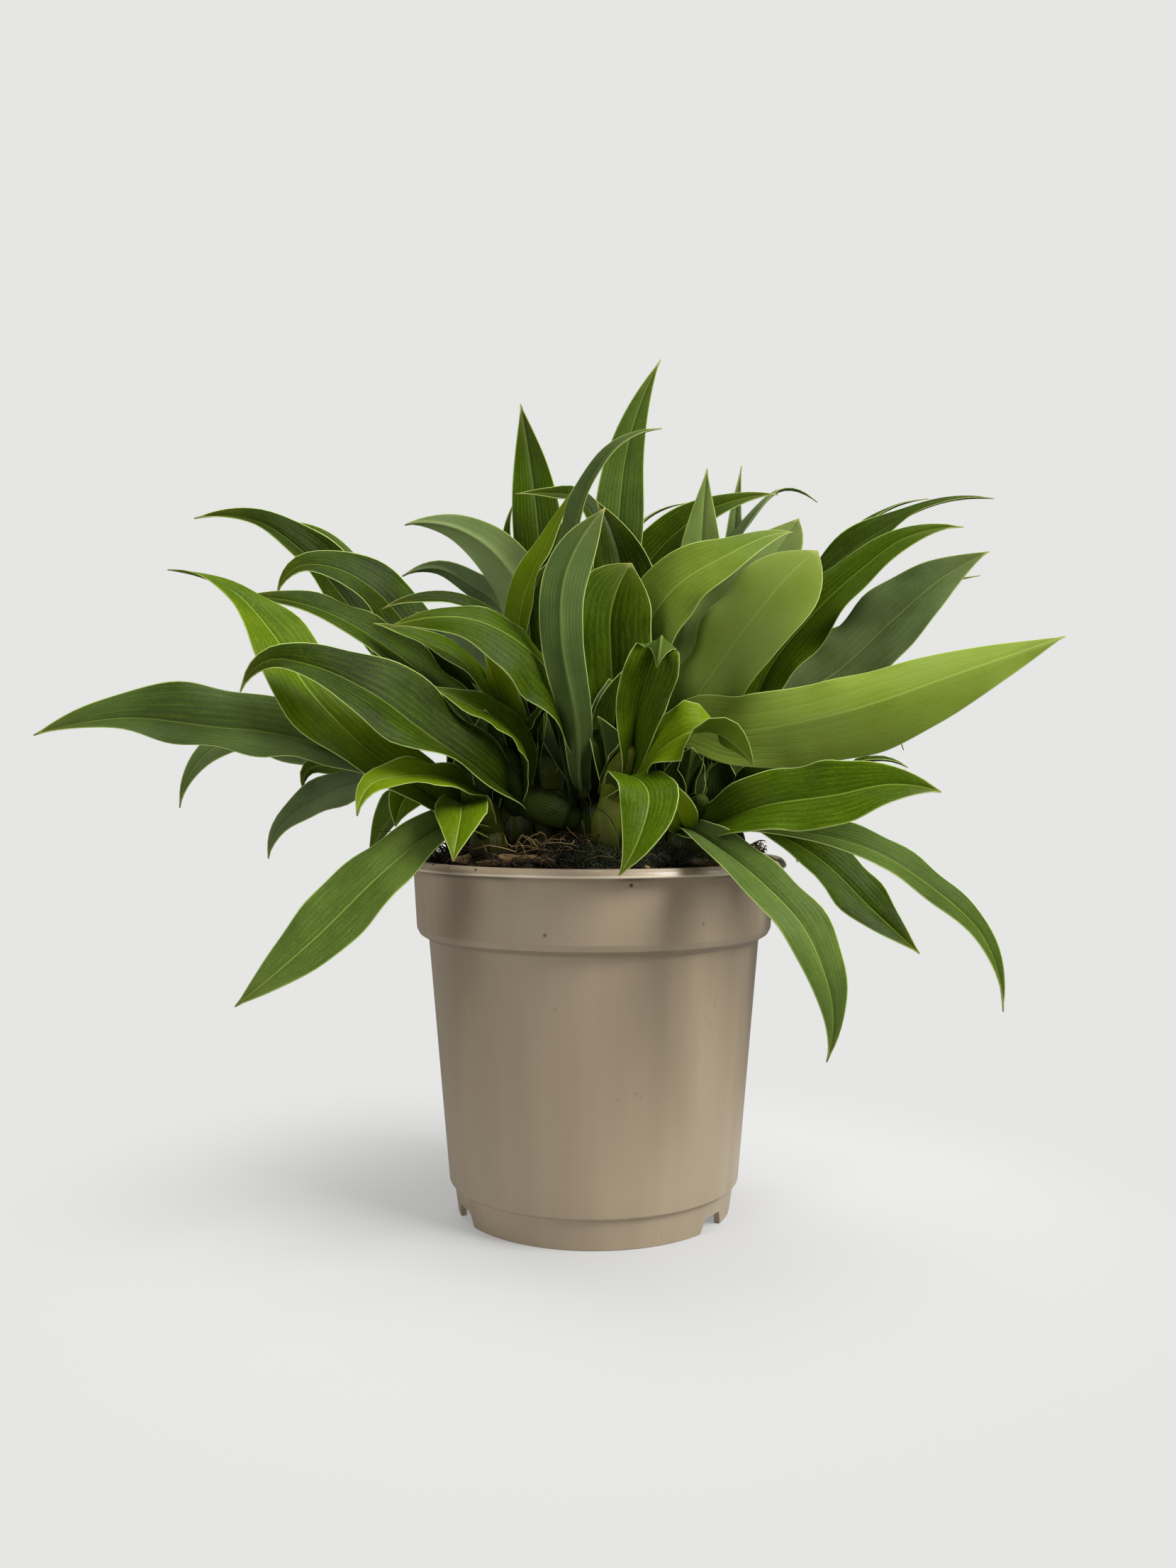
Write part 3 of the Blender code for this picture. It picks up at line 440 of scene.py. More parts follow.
def tube_faces(rows, columns):
    """Faces of a closed tube of rings stored row by row: its side and one flat face on each end."""
    ring = np.arange(columns)
    return [grid_quads(rows, columns, closed=True), ring[None, ::-1], ring[None, :] + (rows - 1) * columns]


def sleeve_faces(rows, columns):
    """Faces of two skins that face away from each other, each row being one skin from left to right and
    the other from right to left: the sides, and a strip that closes each end."""
    here = np.arange(columns - 1)
    strip = np.stack([here, 2 * columns - 1 - here, 2 * columns - 2 - here, here + 1], -1)
    return [grid_quads(rows, 2 * columns, closed=True), strip, strip[:, ::-1] + (rows - 1) * 2 * columns]


def turns(count):
    """Angles at even steps round a full turn."""
    return np.linspace(0.0, TAU, count, endpoint=False)


def rings(radii, heights, count):
    """Points of level rings about +Z: the radius times the cosine and the sine of the turn."""
    across, over = radii[:, None] * np.cos(turns(count)), radii[:, None] * np.sin(turns(count))
    return np.stack([across, over, np.repeat(heights[:, None], count, 1)], -1)


def unit(vectors):
    """Vectors drawn out or in to a length of one, and left at zero where they have none."""
    return vectors / (np.linalg.norm(vectors, axis=-1, keepdims=True) + 1e-12)


class Surface:
    """Points, faces and values at the points, gathered in millimetres and then made one object."""

    def __init__(self):
        self.points = []
        self.faces = []
        self.slots = []
        self.values = []
        self.count = 0

    def add(self, points, faces, slot=0, **values):
        """Add points, blocks of corner numbers, the material's number, and one value or array per name."""
        points = np.asarray(points, float).reshape(-1, 3)
        for block in faces:
            self.faces += (block + self.count).tolist()
            self.slots += [slot] * len(block)
        self.values.append(values)
        self.points.append(points)
        self.count += len(points)

    def gathered(self, name):
        """One value at each point: zero where the points were added without that name."""
        return np.concatenate([np.broadcast_to(values.get(name, 0.0), len(points))
                               for points, values in zip(self.points, self.values)])

    def build(self, name, *finishes):
        """The finished object, shaded smooth: u and v become its UV map, other values its attributes."""
        mesh = bpy.data.meshes.new(name)
        mesh.from_pydata((np.concatenate(self.points) * MM).tolist(), [], self.faces)
        mesh.polygons.foreach_set("material_index", np.array(self.slots, np.int32))
        whole = {key: self.gathered(key) for key in self.values[0]}
        if "u" in whole:
            corners = np.empty(len(mesh.loops), np.int32)
            mesh.loops.foreach_get("vertex_index", corners)
            both = np.stack([whole.pop("u"), whole.pop("v")], 1)
            mesh.uv_layers.new(name="UVMap").data.foreach_set("uv", both[corners].ravel())
        for key, value in whole.items():
            mesh.attributes.new(key, "FLOAT", "POINT").data.foreach_set("value", value.astype(np.float32))
        for finish in finishes:
            mesh.materials.append(finish)
        mesh.shade_smooth()
        return link(bpy.data.objects.new(name, mesh))


def link(obj):
    """Put an object in the scene."""
    bpy.context.scene.collection.objects.link(obj)
    return obj


def settle(piece, slot, *nodes):
    """Let a finished piece ride on the part and hide the solids that it stands for. The slot is not used."""
    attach(piece, "root")
    if nodes:
        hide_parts(*nodes)


def add(tree, kind, inputs=(), out=0, **fields):
    """Add a node, set its fields and its inputs, link the inputs that are sockets, and return an output.

    inputs is a list in the node's own order, or a dict by name or number.
    """
    made = tree.nodes.new("ShaderNode" + kind)
    for field, value in fields.items():
        setattr(made, field, value)
    for socket, value in (inputs.items() if isinstance(inputs, dict) else enumerate(inputs)):
        if isinstance(value, bpy.types.NodeSocket):
            tree.links.new(value, made.inputs[socket])
        else:
            made.inputs[socket].default_value = value
    return made.outputs[out] if made.outputs else made


def emptied(owner):
    """Clear the nodes of a material or a world, and return the function that adds a node to it."""
    owner.use_nodes = True
    owner.node_tree.nodes.clear()
    return functools.partial(add, owner.node_tree)


def leaf_material(settings):
    """Living leaf with a thin waxy cuticle, grown and unpolished: a broad satin sheen painted into the
    colour and broken by the veins, a pale line at midrib and margin, and a duller grey-green underside."""
    made = bpy.data.materials.new("waxy_orchid_leaf")
    node = emptied(made)
    place = node("TexCoord", out=3)
    across = node("SeparateXYZ", [node("UVMap", uv_map="UVMap")])
    along = across.node.outputs[1]
    tone, bloom, under, edge, rib = [node("Attribute", out=2, attribute_name=name)
                                     for name in ("tone", "bloom", "under", "edge", "rib")]
    # Clouds of 20 mm shift the tone along a leaf, and a net of 0.8 mm cells lies between the veins
    cloud = node("TexNoise", {"Vector": place, "Scale": 50.0, "Detail": 4.0, "Roughness": 0.6})
    # Streaks 0.5 mm wide run along the blade, which is some 20 mm wide and 120 mm long in its UV map
    streaked = node("Mapping", {"Vector": node("UVMap", uv_map="UVMap"), "Scale": (40.0, 9.0, 1.0)})
    streaks = node("TexNoise", {"Vector": streaked, "Scale": 1.0, "Detail": 3.0, "Roughness": 0.6})
    net = node("TexNoise", {"Vector": place, "Scale": 1300.0, "Detail": 2.0, "Roughness": 0.6})
    drift = node("MapRange", [cloud, 0.3, 0.7, -0.03, 0.03])
    # 13 strong veins lie side by side in a blade, 1.5 mm apart where it is broad, with 4 fine ones to each
    bent = node("Math", [across, drift], operation="ADD")
    strong, fine = [node("Math", [bent, veins * math.pi], operation="MULTIPLY") for veins in (13.0, 52.0)]
    for operation in ("SINE", "ABSOLUTE"):
        strong, fine = [node("Math", [wave], operation=operation) for wave in (strong, fine)]
    strong = node("Math", [strong, 7.0], operation="POWER")
    faded = node("MapRange", [cloud, 0.35, 0.65, 0.25, 1.0])
    strong = node("Math", [strong, faded], operation="MULTIPLY")

    shift = node("MapRange", [cloud, 0.3, 0.7, -0.10, 0.10])
    grade = node("Math", [tone, shift], operation="ADD")
    low = node("MapRange", [grade, 0.0, 0.45])
    high = node("MapRange", [grade, 0.45, 1.0])
    green = node("Mix", {0: low, 6: settings.old, 7: settings.middle}, 2, data_type="RGBA")
    green = node("Mix", {0: high, 6: green, 7: settings.young}, 2, data_type="RGBA")
    pale = node("MapRange", [tone, 0.0, 0.8, 0.70, 0.85])
    below = node("Mix", {0: pale, 6: settings.under, 7: green}, 2, data_type="RGBA")
    # The patterns over each side's green: a value, its range, the strength at each end, and the colour.
    # They stand out less on a dark leaf
    upper = ((strong, 0.0, 1.0, 0.0, 0.22, "#8aa31c"),
             (fine, 0.2, 1.0, 0.0, 0.26, "#162402"),
             (streaks, 0.50, 0.75, 0.0, 0.25, "#7f9a1e"),
             (net, 0.50, 0.75, 0.0, 0.14, "#8ba42c"),
             (rib, 0.15, 0.35, 0.45, 0.0, "#a3b84e"))
    lower = ((fine, 0.2, 1.0, 0.0, 0.18, "#3a4f2a"),
             (strong, 0.0, 1.0, 0.0, 0.25, "#8aa150"),
             (rib, 0.2, 0.45, 0.25, 0.0, "#94a855"))
    clear = node("MapRange", [tone, 0.0, 0.6, 0.35, 1.0])
    sides = []
    for skin, patterns in ((green, upper), (below, lower)):
        for *shape, code in patterns:
            factor = node("Math", [node("MapRange", shape), clear], operation="MULTIPLY")
            skin = node("Mix", {0: factor, 6: skin, 7: linear(code)}, 2, data_type="RGBA")
        sides.append(skin)
    skin, below = sides
    # Painted shade darkens each blade towards its stalk, deep in the clump. The painted sheen thins out
    # over the fine veins. The margin is a line 0.25 mm wide, and the tip dries out to olive and then to
    # straw
    painted_sheen_mask = node("Math", [node("MapRange", [cloud, 0.3, 0.7, 0.4, 0.8]), bloom], operation="MULTIPLY")
    painted_sheen_mask = node("Math", [painted_sheen_mask, node("MapRange", [fine, 0.0, 1.0, 1.25, 0.70])], operation="MULTIPLY")
    for factor, colour in ((under, below),
                           # painted shade towards the stalk
                           (node("MapRange", [along, 0.02, 0.40, 0.55, 0.0]), linear("#141e05")),
                           # painted sheen, pale grey-green
                           (painted_sheen_mask, linear("#93a27a")),
                           (node("MapRange", [edge, 0.14, 0.34, 0.85, 0.0]), settings.margin),
                           (node("MapRange", [along, 0.86, 1.0, 0.0, 0.35]), linear("#5e5c22")),
                           (node("MapRange", [along, 0.975, 1.0, 0.0, 0.6]), linear("#93854a"))):
        skin = node("Mix", {0: factor, 6: skin, 7: colour}, 2, data_type="RGBA")

    gloss = node("MapRange", [streaks, 0.3, 0.7, 0.28, 0.42])
    gloss = node("Math", [under, 0.20, gloss], operation="MULTIPLY_ADD")
    relief = streaks
    for pattern, share in ((fine, 0.6), (net, 0.15), (strong, -1.0)):
        relief = node("Math", [pattern, share, relief], operation="MULTIPLY_ADD")
    # The pattern closes up towards the tip, so its relief fades out there
    strength = node("MapRange", [along, 0.50, 0.90, 0.32, 0.05])
    bump = node("Bump", {"Strength": strength, "Distance": 0.00022, "Height": relief})
    shader = node("BsdfPrincipled", {"Base Color": skin, "Roughness": gloss, "Normal": bump, "IOR": 1.45,
                                     "Specular IOR Level": 0.05, "Subsurface Weight": 0.08,
                                     "Subsurface Radius": (0.7, 1.0, 0.1), "Subsurface Scale": 0.001})
    node("OutputMaterial", {"Surface": shader})
    return made


def bulb_material():
    """Pseudobulb skin and sheath, living and half dry: fleshy dark olive with lengthwise ribs 1 mm apart
    whose crests are lightened by a painted highlight, going to brown papery remains at the mix."""
    made = bpy.data.materials.new("pseudobulb_skin")
    node = emptied(made)
    place = node("TexCoord", out=3)
    across = node("SeparateXYZ", [node("UVMap", uv_map="UVMap")])
    height = node("SeparateXYZ", [place], 2)
    ribs = node("Math", [node("Math", [across, 40.0 * math.pi], operation="MULTIPLY")], operation="SINE")
    ribs = node("Math", [ribs], operation="ABSOLUTE")
    # Patches of 8 mm vary the green and the olive
    patch = node("TexNoise", {"Vector": place, "Scale": 120.0, "Detail": 4.0, "Roughness": 0.6})
    skin, olive = [node("Mix", {0: patch, 6: linear(deep), 7: linear(light)}, 2, data_type="RGBA")
                   for deep, light in (("#0e1704", "#28380b"), ("#343c0e", "#666c1d"))]
    paper = node("MapRange", [height, PAPER_TOP * MM, SKIN_BOTTOM * MM, 0.9, 0.0])
    for factor, colour in ((node("Attribute", out=2, attribute_name="tone"), olive),
                           # painted highlight on the ribs' crests
                           (node("MapRange", [ribs, 0.3, 1.0, 0.0, 0.12]), linear("#76843a")),
                           (paper, linear("#20180d"))):
        skin = node("Mix", {0: factor, 6: skin, 7: colour}, 2, data_type="RGBA")
    relief = node("Math", [ribs, patch], operation="ADD")
    bump = node("Bump", {"Strength": 0.35, "Distance": 0.0003, "Height": relief})
    gloss = node("MapRange", [patch, 0.3, 0.7, 0.20, 0.40])
    shader = node("BsdfPrincipled", {"Base Color": skin, "Roughness": gloss, "Normal": bump, "IOR": 1.45,
                                     "Specular IOR Level": 0.15})
    node("OutputMaterial", {"Surface": shader})
    return made


def pot_material(settings):
    """Polypropylene, injection moulded in a satin tool: even in colour with faint flow streaks down the
    wall, fine scuffs, and specks of mix that dried on the rim and the collar."""
    made = bpy.data.materials.new("moulded_polypropylene")
    node = emptied(made)
    place = node("TexCoord", out=3)
    height = node("SeparateXYZ", [place], 2)
    # Flow streaks are some 8 mm wide and run down the whole wall, and pale scuffs are 45 mm wide
    stretched = node("Mapping", {"Vector": place, "Scale": (1.0, 1.0, 0.05)})
    streaks = node("TexNoise", {"Vector": stretched, "Scale": 120.0, "Detail": 3.0, "Roughness": 0.5})
    cloud = node("TexNoise", {"Vector": place, "Scale": 22.0, "Detail": 3.0})
    grain = node("TexNoise", {"Vector": place, "Scale": 2200.0, "Detail": 2.0})
    # Specks of dirt are some 1 mm across and sit in a few patches. They grow from faint to dark between
    # 80 and 100 mm up, at the collar
    cells = node("TexVoronoi", {"Vector": place, "Scale": 330.0})
    patches = node("TexNoise", {"Vector": place, "Scale": 70.0, "Detail": 1.0})
    speck = node("MapRange", [cells, 0.14, 0.24, 1.0, 0.0])
    speck = node("Math", [speck, node("MapRange", [patches, 0.66, 0.69])], operation="MULTIPLY")
    dirty = node("MapRange", [height, 0.080, 0.100, 0.15, 1.0])
    speck = node("Math", [speck, dirty], operation="MULTIPLY")
    # Under the lip, patchy grime with painted shade darkens the corner; under the collar, an even band of
    # painted shade
    corners = []
    for low, high, end, most in ((LIP_BOTTOM - 1.4, LIP_BOTTOM - 0.2, LIP_BOTTOM + 0.2, 1.0),
                                 (BODY_TOP - 0.6, BODY_TOP + 0.6, BODY_TOP + 1.6, 0.32)):
        rising = node("MapRange", [height, low * MM, high * MM, 0.0, most])
        below = node("Math", [height, end * MM], operation="LESS_THAN")
        corners.append(node("Math", [rising, below], operation="MULTIPLY"))
    lip, ledge = corners
    lip = node("Math", [node("MapRange", [patches, 0.4, 0.7, 0.05, 0.8]), lip], operation="MULTIPLY")
    dirt_and_painted_shade = node("Math", [lip, ledge], operation="MAXIMUM")
    # Painted highlight: a pale line over half a millimetre at the lip's lower edge, where it catches the
    # light
    painted_edge_highlight = node("Math", [height, (LIP_BOTTOM + 0.55) * MM], operation="SUBTRACT")
    painted_edge_highlight = node("MapRange", [node("Math", [painted_edge_highlight], operation="ABSOLUTE"), 0.00015, 0.00040, 0.75, 0.0])
    skin = settings.colour
    for factor, code in ((node("MapRange", [streaks, 0.3, 0.7, 0.0, 0.25]), "#7c6d57"),
                         (node("MapRange", [cloud, 0.35, 0.7, 0.0, 0.3]), "#a39580"),
                         # grime and painted shade in the corners, and a painted highlight along the lip's
                         # lower edge
                         (speck, "#2f2115"), (dirt_and_painted_shade, "#4d3e2d"), (painted_edge_highlight, "#d8ccb2")):
        skin = node("Mix", {0: factor, 6: skin, 7: linear(code)}, 2, data_type="RGBA")
    gloss = node("MapRange", [streaks, 0.3, 0.7, 0.26, 0.38])
    gloss = node("Math", [speck, gloss], operation="MAXIMUM")
    relief = node("Math", [grain, 0.2, streaks], operation="MULTIPLY_ADD")
    bump = node("Bump", {"Strength": 0.15, "Distance": 0.0002, "Height": relief})
    shader = node("BsdfPrincipled", {"Base Color": skin, "Roughness": gloss, "Normal": bump, "IOR": 1.49})
    node("OutputMaterial", {"Surface": shader})
    return made


def mix_material(settings):
    """Composted bark, damp and crumbled: nearly black and matte, with lighter crumbs of 1 to 2 mm."""
    made = bpy.data.materials.new("damp_bark_mix")
    node = emptied(made)
    place = node("TexCoord", out=3)
    crumbs = node("TexVoronoi", {"Vector": place, "Scale": 620.0})
    cloud = node("TexNoise", {"Vector": place, "Scale": 90.0, "Detail": 5.0, "Roughness": 0.65})
    skin = settings.damp
    for factor, code in ((node("MapRange", [cloud, 0.4, 0.75]), "#2c1f13"),
                         (node("MapRange", [crumbs.node.outputs[1], 0.70, 0.80, 0.0, 0.5]), "#5f4a30")):
        skin = node("Mix", {0: factor, 6: skin, 7: linear(code)}, 2, data_type="RGBA")
    gloss = node("MapRange", [cloud, 0.3, 0.7, 0.6, 0.95])
    relief = node("Math", [crumbs, cloud], operation="ADD")
    bump = node("Bump", {"Strength": 0.8, "Distance": 0.0008, "Height": relief})
    shader = node("BsdfPrincipled", {"Base Color": skin, "Roughness": gloss, "Normal": bump, "IOR": 1.4})
    node("OutputMaterial", {"Surface": shader})
    return made


def bark_material(settings):
    """Pine bark, split and weathered: dull, damp brown to dry tan, with dark cracks along the grain."""
    made = bpy.data.materials.new("split_pine_bark")
    node = emptied(made)
    place = node("TexCoord", out=3)
    along = node("SeparateXYZ", [node("UVMap", uv_map="UVMap")])
    tone = node("Attribute", out=2, attribute_name="tone")
    # The grain is drawn out along each chip, and every chip reads another slice of it
    drawn = node("Math", [along, 0.2], operation="MULTIPLY")
    drawn = node("CombineXYZ", [drawn, along.node.outputs[1], tone])
    grain = node("TexNoise", {"Vector": drawn, "Scale": 16.0, "Detail": 4.0})
    patch = node("TexNoise", {"Vector": place, "Scale": 340.0, "Detail": 4.0, "Roughness": 0.6})
    skin = linear("#1e140b")
    for factor, colour in ((tone, settings.dry),
                           (node("MapRange", [grain, 0.42, 0.60, 0.6, 0.0]), linear("#140d07")),
                           (node("MapRange", [patch, 0.52, 0.8, 0.0, 0.3]), linear("#b79a6d"))):
        skin = node("Mix", {0: factor, 6: skin, 7: colour}, 2, data_type="RGBA")
    gloss = node("MapRange", [patch, 0.3, 0.7, 0.7, 0.95])
    relief = node("Math", [grain, patch], operation="ADD")
    bump = node("Bump", {"Strength": 0.7, "Distance": 0.0006, "Height": relief})
    shader = node("BsdfPrincipled", {"Base Color": skin, "Roughness": gloss, "Normal": bump, "IOR": 1.45})
    node("OutputMaterial", {"Surface": shader})
    return made


def fibre_material():
    """Dead fine roots and moss, dried as they grew: wiry and matte, black through brown to straw, and
    dark green where the moss still lives."""
    made = bpy.data.materials.new("dry_root_and_moss")
    node = emptied(made)
    ramp = node("ValToRGB", [node("Attribute", out=2, attribute_name="tone")])
    stops = ((0.0, "#0d0905"), (0.35, "#2a1f10"), (0.6, "#6a5128"), (0.74, "#c2a872"), (0.78, "#1a240a"),
             (1.0, "#45561f"))
    points = ramp.node.color_ramp.elements
    points[0].color, points[1].color = linear(stops[0][1]), linear(stops[-1][1])
    for where, code in stops[1:-1]:
        points.new(where).color = linear(code)
    rough = node("TexNoise", {"Vector": node("TexCoord", out=3), "Scale": 1500.0, "Detail": 2.0})
    bump = node("Bump", {"Strength": 0.4, "Distance": 0.0002, "Height": rough})
    shader = node("BsdfPrincipled", {"Base Color": ramp, "Roughness": 0.75, "Normal": bump, "IOR": 1.45})
    node("OutputMaterial", {"Surface": shader})
    return made


def water_material():
    """Clear water left from misting: a hard, small highlight and the bulb's colour through it."""
    made = bpy.data.materials.new("clear_water")
    node = emptied(made)
    shader = node("BsdfPrincipled", {"Base Color": (1.0, 1.0, 1.0, 1.0), "Roughness": 0.02, "IOR": 1.333,
                                     "Transmission Weight": 1.0})
    node("OutputMaterial", {"Surface": shader})
    return made


def paper_material(settings):
    """Seamless studio paper, matte: it takes the pot's soft shadow near the middle, and further out it
    glows evenly in the backdrop's colour, so that no horizon shows. It lights the plant from below
    with less than that glow, and shows fainter in its gloss."""
    made = bpy.data.materials.new("seamless_paper")
    node = emptied(made)
    place = node("TexCoord", out=3)
    reach = node("VectorMath", [place], "Value", operation="LENGTH")
    cloud = node("TexNoise", {"Vector": place, "Scale": 4.0, "Detail": 2.0})
    skin = node("Mix", {0: cloud, 6: linear("#c0c0bf"), 7: linear("#bcbcbb")}, 2, data_type="RGBA")
    near = node("BsdfPrincipled", {"Base Color": skin, "Roughness": 0.9})
    glow = node("MapRange", [node("LightPath"), 0.0, 1.0, 0.7, 1.0])
    dull = node("MapRange", [node("LightPath", out=3), 0.0, 1.0, 1.0, 0.35])
    glow = node("Math", [glow, dull], operation="MULTIPLY")
    far = node("Emission", {"Color": settings.pale, "Strength": glow})
    share = node("MapRange", [reach, 0.04, 0.20, 0.35, 1.0], interpolation_type="SMOOTHSTEP")
    node("OutputMaterial", {"Surface": node("MixShader", [share, near, far])})
    return made


def midrib(points, count):
    """Evenly spaced points on a smooth curve through the given ones: cubic pieces whose knots lie
    the square root of each chord apart, with slopes read from the neighbouring points."""
    points = np.array(points, float)
    chords = np.linalg.norm(np.diff(points, axis=0), axis=1)
    knots = np.concatenate([[0.0], np.cumsum(np.sqrt(chords))])
    slopes = np.gradient(points, knots, axis=0, edge_order=2 if len(points) > 2 else 1)
    fine = np.linspace(0.0, knots[-1], 400)
    piece = np.clip(np.searchsorted(knots, fine, side="right") - 1, 0, len(points) - 2)
    span = (knots[piece + 1] - knots[piece])[:, None]
    step = (fine - knots[piece])[:, None] / span
    curve = ((2.0 * step ** 3 - 3.0 * step ** 2 + 1.0) * points[piece]
             + (step ** 3 - 2.0 * step ** 2 + step) * span * slopes[piece]
             + (3.0 * step ** 2 - 2.0 * step ** 3) * points[piece + 1]
             + (step ** 3 - step ** 2) * span * slopes[piece + 1])
    reach = np.concatenate([[0.0], np.cumsum(np.linalg.norm(np.diff(curve, axis=0), axis=1))])
    even = np.linspace(0.0, reach[-1], count)
    return np.stack([np.interp(even, reach, curve[:, axis]) for axis in range(3)], axis=1)


def half_width(share, form):
    """A blade's half width. It rises from the stalk's share to the broadest place as a quarter of a sine,
    and falls from there as one less the tail's power of the way to the tip. A last power, a little over
    one, draws both in."""
    rise = np.clip(share / form["widest"], 0.0, 1.0)
    fall = np.clip((share - form["widest"]) / (1.0 - form["widest"]), 0.0, 1.0)
    up = form["base"] + (1.0 - form["base"]) * np.sin(math.pi / 2.0 * rise) ** DRAWN_IN
    down = (1.0 - fall ** form["tail"]) ** DRAWN_IN
    return np.maximum(form["width"] / 2.0 * np.where(share < form["widest"], up, down), TIP_HALF_WIDTH)


def blade_frame(form, start, share):
    """The midrib's points and, at each, the blade's sideways and facing directions, turned by the roll."""
    rib = midrib([start, *form["rib"]], len(share))
    along = unit(np.gradient(rib, axis=0))
    chord = rib[-1] - rib[0]
    bearing = math.atan2(chord[1], chord[0]) if form["bearing"] is None else math.radians(form["bearing"])
    level = np.array([-math.sin(bearing), math.cos(bearing), 0.0])
    side = unit(level - (along @ level)[:, None] * along)
    face = np.cross(along, side)
    roll = np.radians(np.interp(share, np.linspace(0.0, 1.0, len(form["roll"])), form["roll"]))[:, None]
    return rib, side * np.cos(roll) + face * np.sin(roll), face * np.cos(roll) - side * np.sin(roll)


def blade_surface(form, start, share, place, ripple, draw):
    """Points of a blade for each share of its length and each place across it, from -1 to 1.

    Each cross-section is a shallow V square to the midrib. The halves rise by the fold angle, curl
    back by the bow times the square of the place, and swing by the wave. To that come soft pleats,
    a cosine across the blade, a groove at the midrib, a narrow bell, and ripples of each margin,
    sines along it that fade towards the midrib with the cube of the place.
    """
    rib, side, face = blade_frame(form, start, share)
    half = half_width(share, form)[:, None]
    share, place = share[:, None], place[None, :]
    first, last = form["fold"]
    fold = np.radians(first + (last - first) * np.clip(share / 0.5, 0.0, 1.0))
    height, swings, phase = form["wave"]
    swing = np.sin(TAU * (swings * share + phase + 0.23 * (place > 0.0)))
    arch = np.sin(math.pi * share)
    lift = height * swing * place ** 2 * arch
    size = half / BROAD_HALF_WIDTH
    for sign in (-1.0, 1.0):
        for count in (draw.uniform(1.5, 3.0), draw.uniform(3.5, 6.5)):
            wave = np.sin(TAU * (count * share + draw.uniform(0.0, 1.0)))
            strength = ripple * draw.uniform(0.3, 1.0) * 2.0 / count ** 0.5
            lift = lift + strength * size * wave * np.clip(place * sign, 0.0, 1.0) ** 3 * arch
    lift = lift + PLEAT_HEIGHT * size * np.cos(place * PLEATS * math.pi) * (1.0 - place ** 4) * arch
    lift = lift - GROOVE_DEPTH * np.exp(-(place * half / GROOVE_WIDTH) ** 2)
    out = half * place * np.cos(fold)
    up = half * np.abs(place) * np.sin(fold) - form["bow"] * half * place ** 2 + lift
    return rib[:, None, :] + out[..., None] * side[:, None, :] + up[..., None] * face[:, None, :]


def leaf_start(form, crown):
    """Where a blade's stalk starts: in the bulb's neck, a little way out towards the leaf."""
    crown = np.array(crown, float)
    out = np.array(form["rib"][0], float) - crown
    out[2] = 0.0
    return crown + STALK_OUT * out / max(np.linalg.norm(out), 1.0)


def add_leaf(surface, form, crown, settings, draw, share_of_faces=1.0):
    """Lay one blade into a surface: an upper and a lower skin either side of the blade's middle surface,
    closed round the margin and at both ends. It thins with the sixth power of the way out to the margin
    and evenly towards the tip, and the keel under its midrib is a narrow bell."""
    start = leaf_start(form, crown)
    length = np.linalg.norm(np.diff(np.array([start, *form["rib"]], float), axis=0), axis=1).sum()
    rows = int(np.clip(length / (settings.row / MM) * share_of_faces, FEWEST_ROWS, MOST_ROWS)) + 1
    columns = int(settings.columns * share_of_faces) // 2 * 2 + 1
    share = np.linspace(0.0, 1.0, rows)
    even = np.linspace(-1.0, 1.0, columns)
    # Points across the blade lie closer at the midrib and the margin, where it turns fastest
    place = np.sign(even) * (0.4 * np.abs(even) + 0.6 * np.sin(np.abs(even) * math.pi / 2.0) ** 1.6)
    middle = blade_surface(form, start, share, place, settings.ripple / MM, draw)
    normal = unit(np.cross(np.gradient(middle, axis=0), np.gradient(middle, axis=1)))
    half = half_width(share, form)[:, None]
    thinner = (1.0 - MARGIN_THINNER * np.abs(place) ** 6) * (1.1 - TIP_THINNER * share[:, None])
    skin = settings.thickness / MM / 2.0 * thinner
    keel = KEEL_HEIGHT * np.exp(-(half * place / KEEL_WIDTH) ** 2) * (1.0 - share[:, None]) ** 0.5
    upper = middle + normal * skin[..., None]
    lower = middle - normal * (skin + keel)[..., None]
    both = np.concatenate([place, place[::-1]])
    from_rib = half * np.abs(both)
    surface.add(np.concatenate([lower, upper[:, ::-1]], axis=1), sleeve_faces(rows, columns), 0,
                u=np.tile(both * 0.5 + 0.5, rows), v=np.repeat(share, 2 * columns),
                under=np.tile(np.repeat([1.0, 0.0], columns), rows), tone=form["tone"], bloom=form["bloom"],
                edge=(half - from_rib).ravel(), rib=from_rib.ravel())


def young_leaves(crown, count, draw):
    """Short leaves that stand round a crown at even turns, with a little scatter, and clasp each other
    at their foot: they close the clump where the long leaves part."""
    first = draw.uniform(0.0, TAU)
    for number in range(count):
        turn = first + TAU * (number + draw.uniform(-0.2, 0.2)) / count
        lean = math.radians(draw.uniform(8.0, 30.0))
        length = draw.uniform(22.0, 40.0)
        outward = np.array([math.cos(turn), math.sin(turn), 0.0])
        rise = np.array([0.0, 0.0, 1.0])
        middle = crown + length * (0.5 * math.cos(lean) * rise + 0.35 * math.sin(lean) * outward)
        tip = crown + length * (math.cos(lean) * rise + math.sin(lean) * outward)
        # Painted shade: these young leaves take the darkest tones, 0 to 0.12, for the shaded heart of the
        # clump
        yield leaf([tuple(middle), tuple(tip)], draw.uniform(12.0, 16.0), tone=draw.uniform(0.0, 0.12),
                   base=0.7, fold=(60, 30), bearing=math.degrees(turn), widest=0.5, tail=2.2)


def around(foot, top, share, reach, turn):
    """Points round a bulb's axis: share of the way up it, and away from it by the reach, times the
    cosine of the turn across it and the sine of the turn over it."""
    run = np.array(top, float) - foot
    across = unit(np.cross(run, (0.0, 1.0, 0.0)))
    over = unit(np.cross(run, across))
    return (foot + share[..., None] * run + (reach * np.cos(turn))[..., None] * across
            + (reach * np.sin(turn))[..., None] * over)


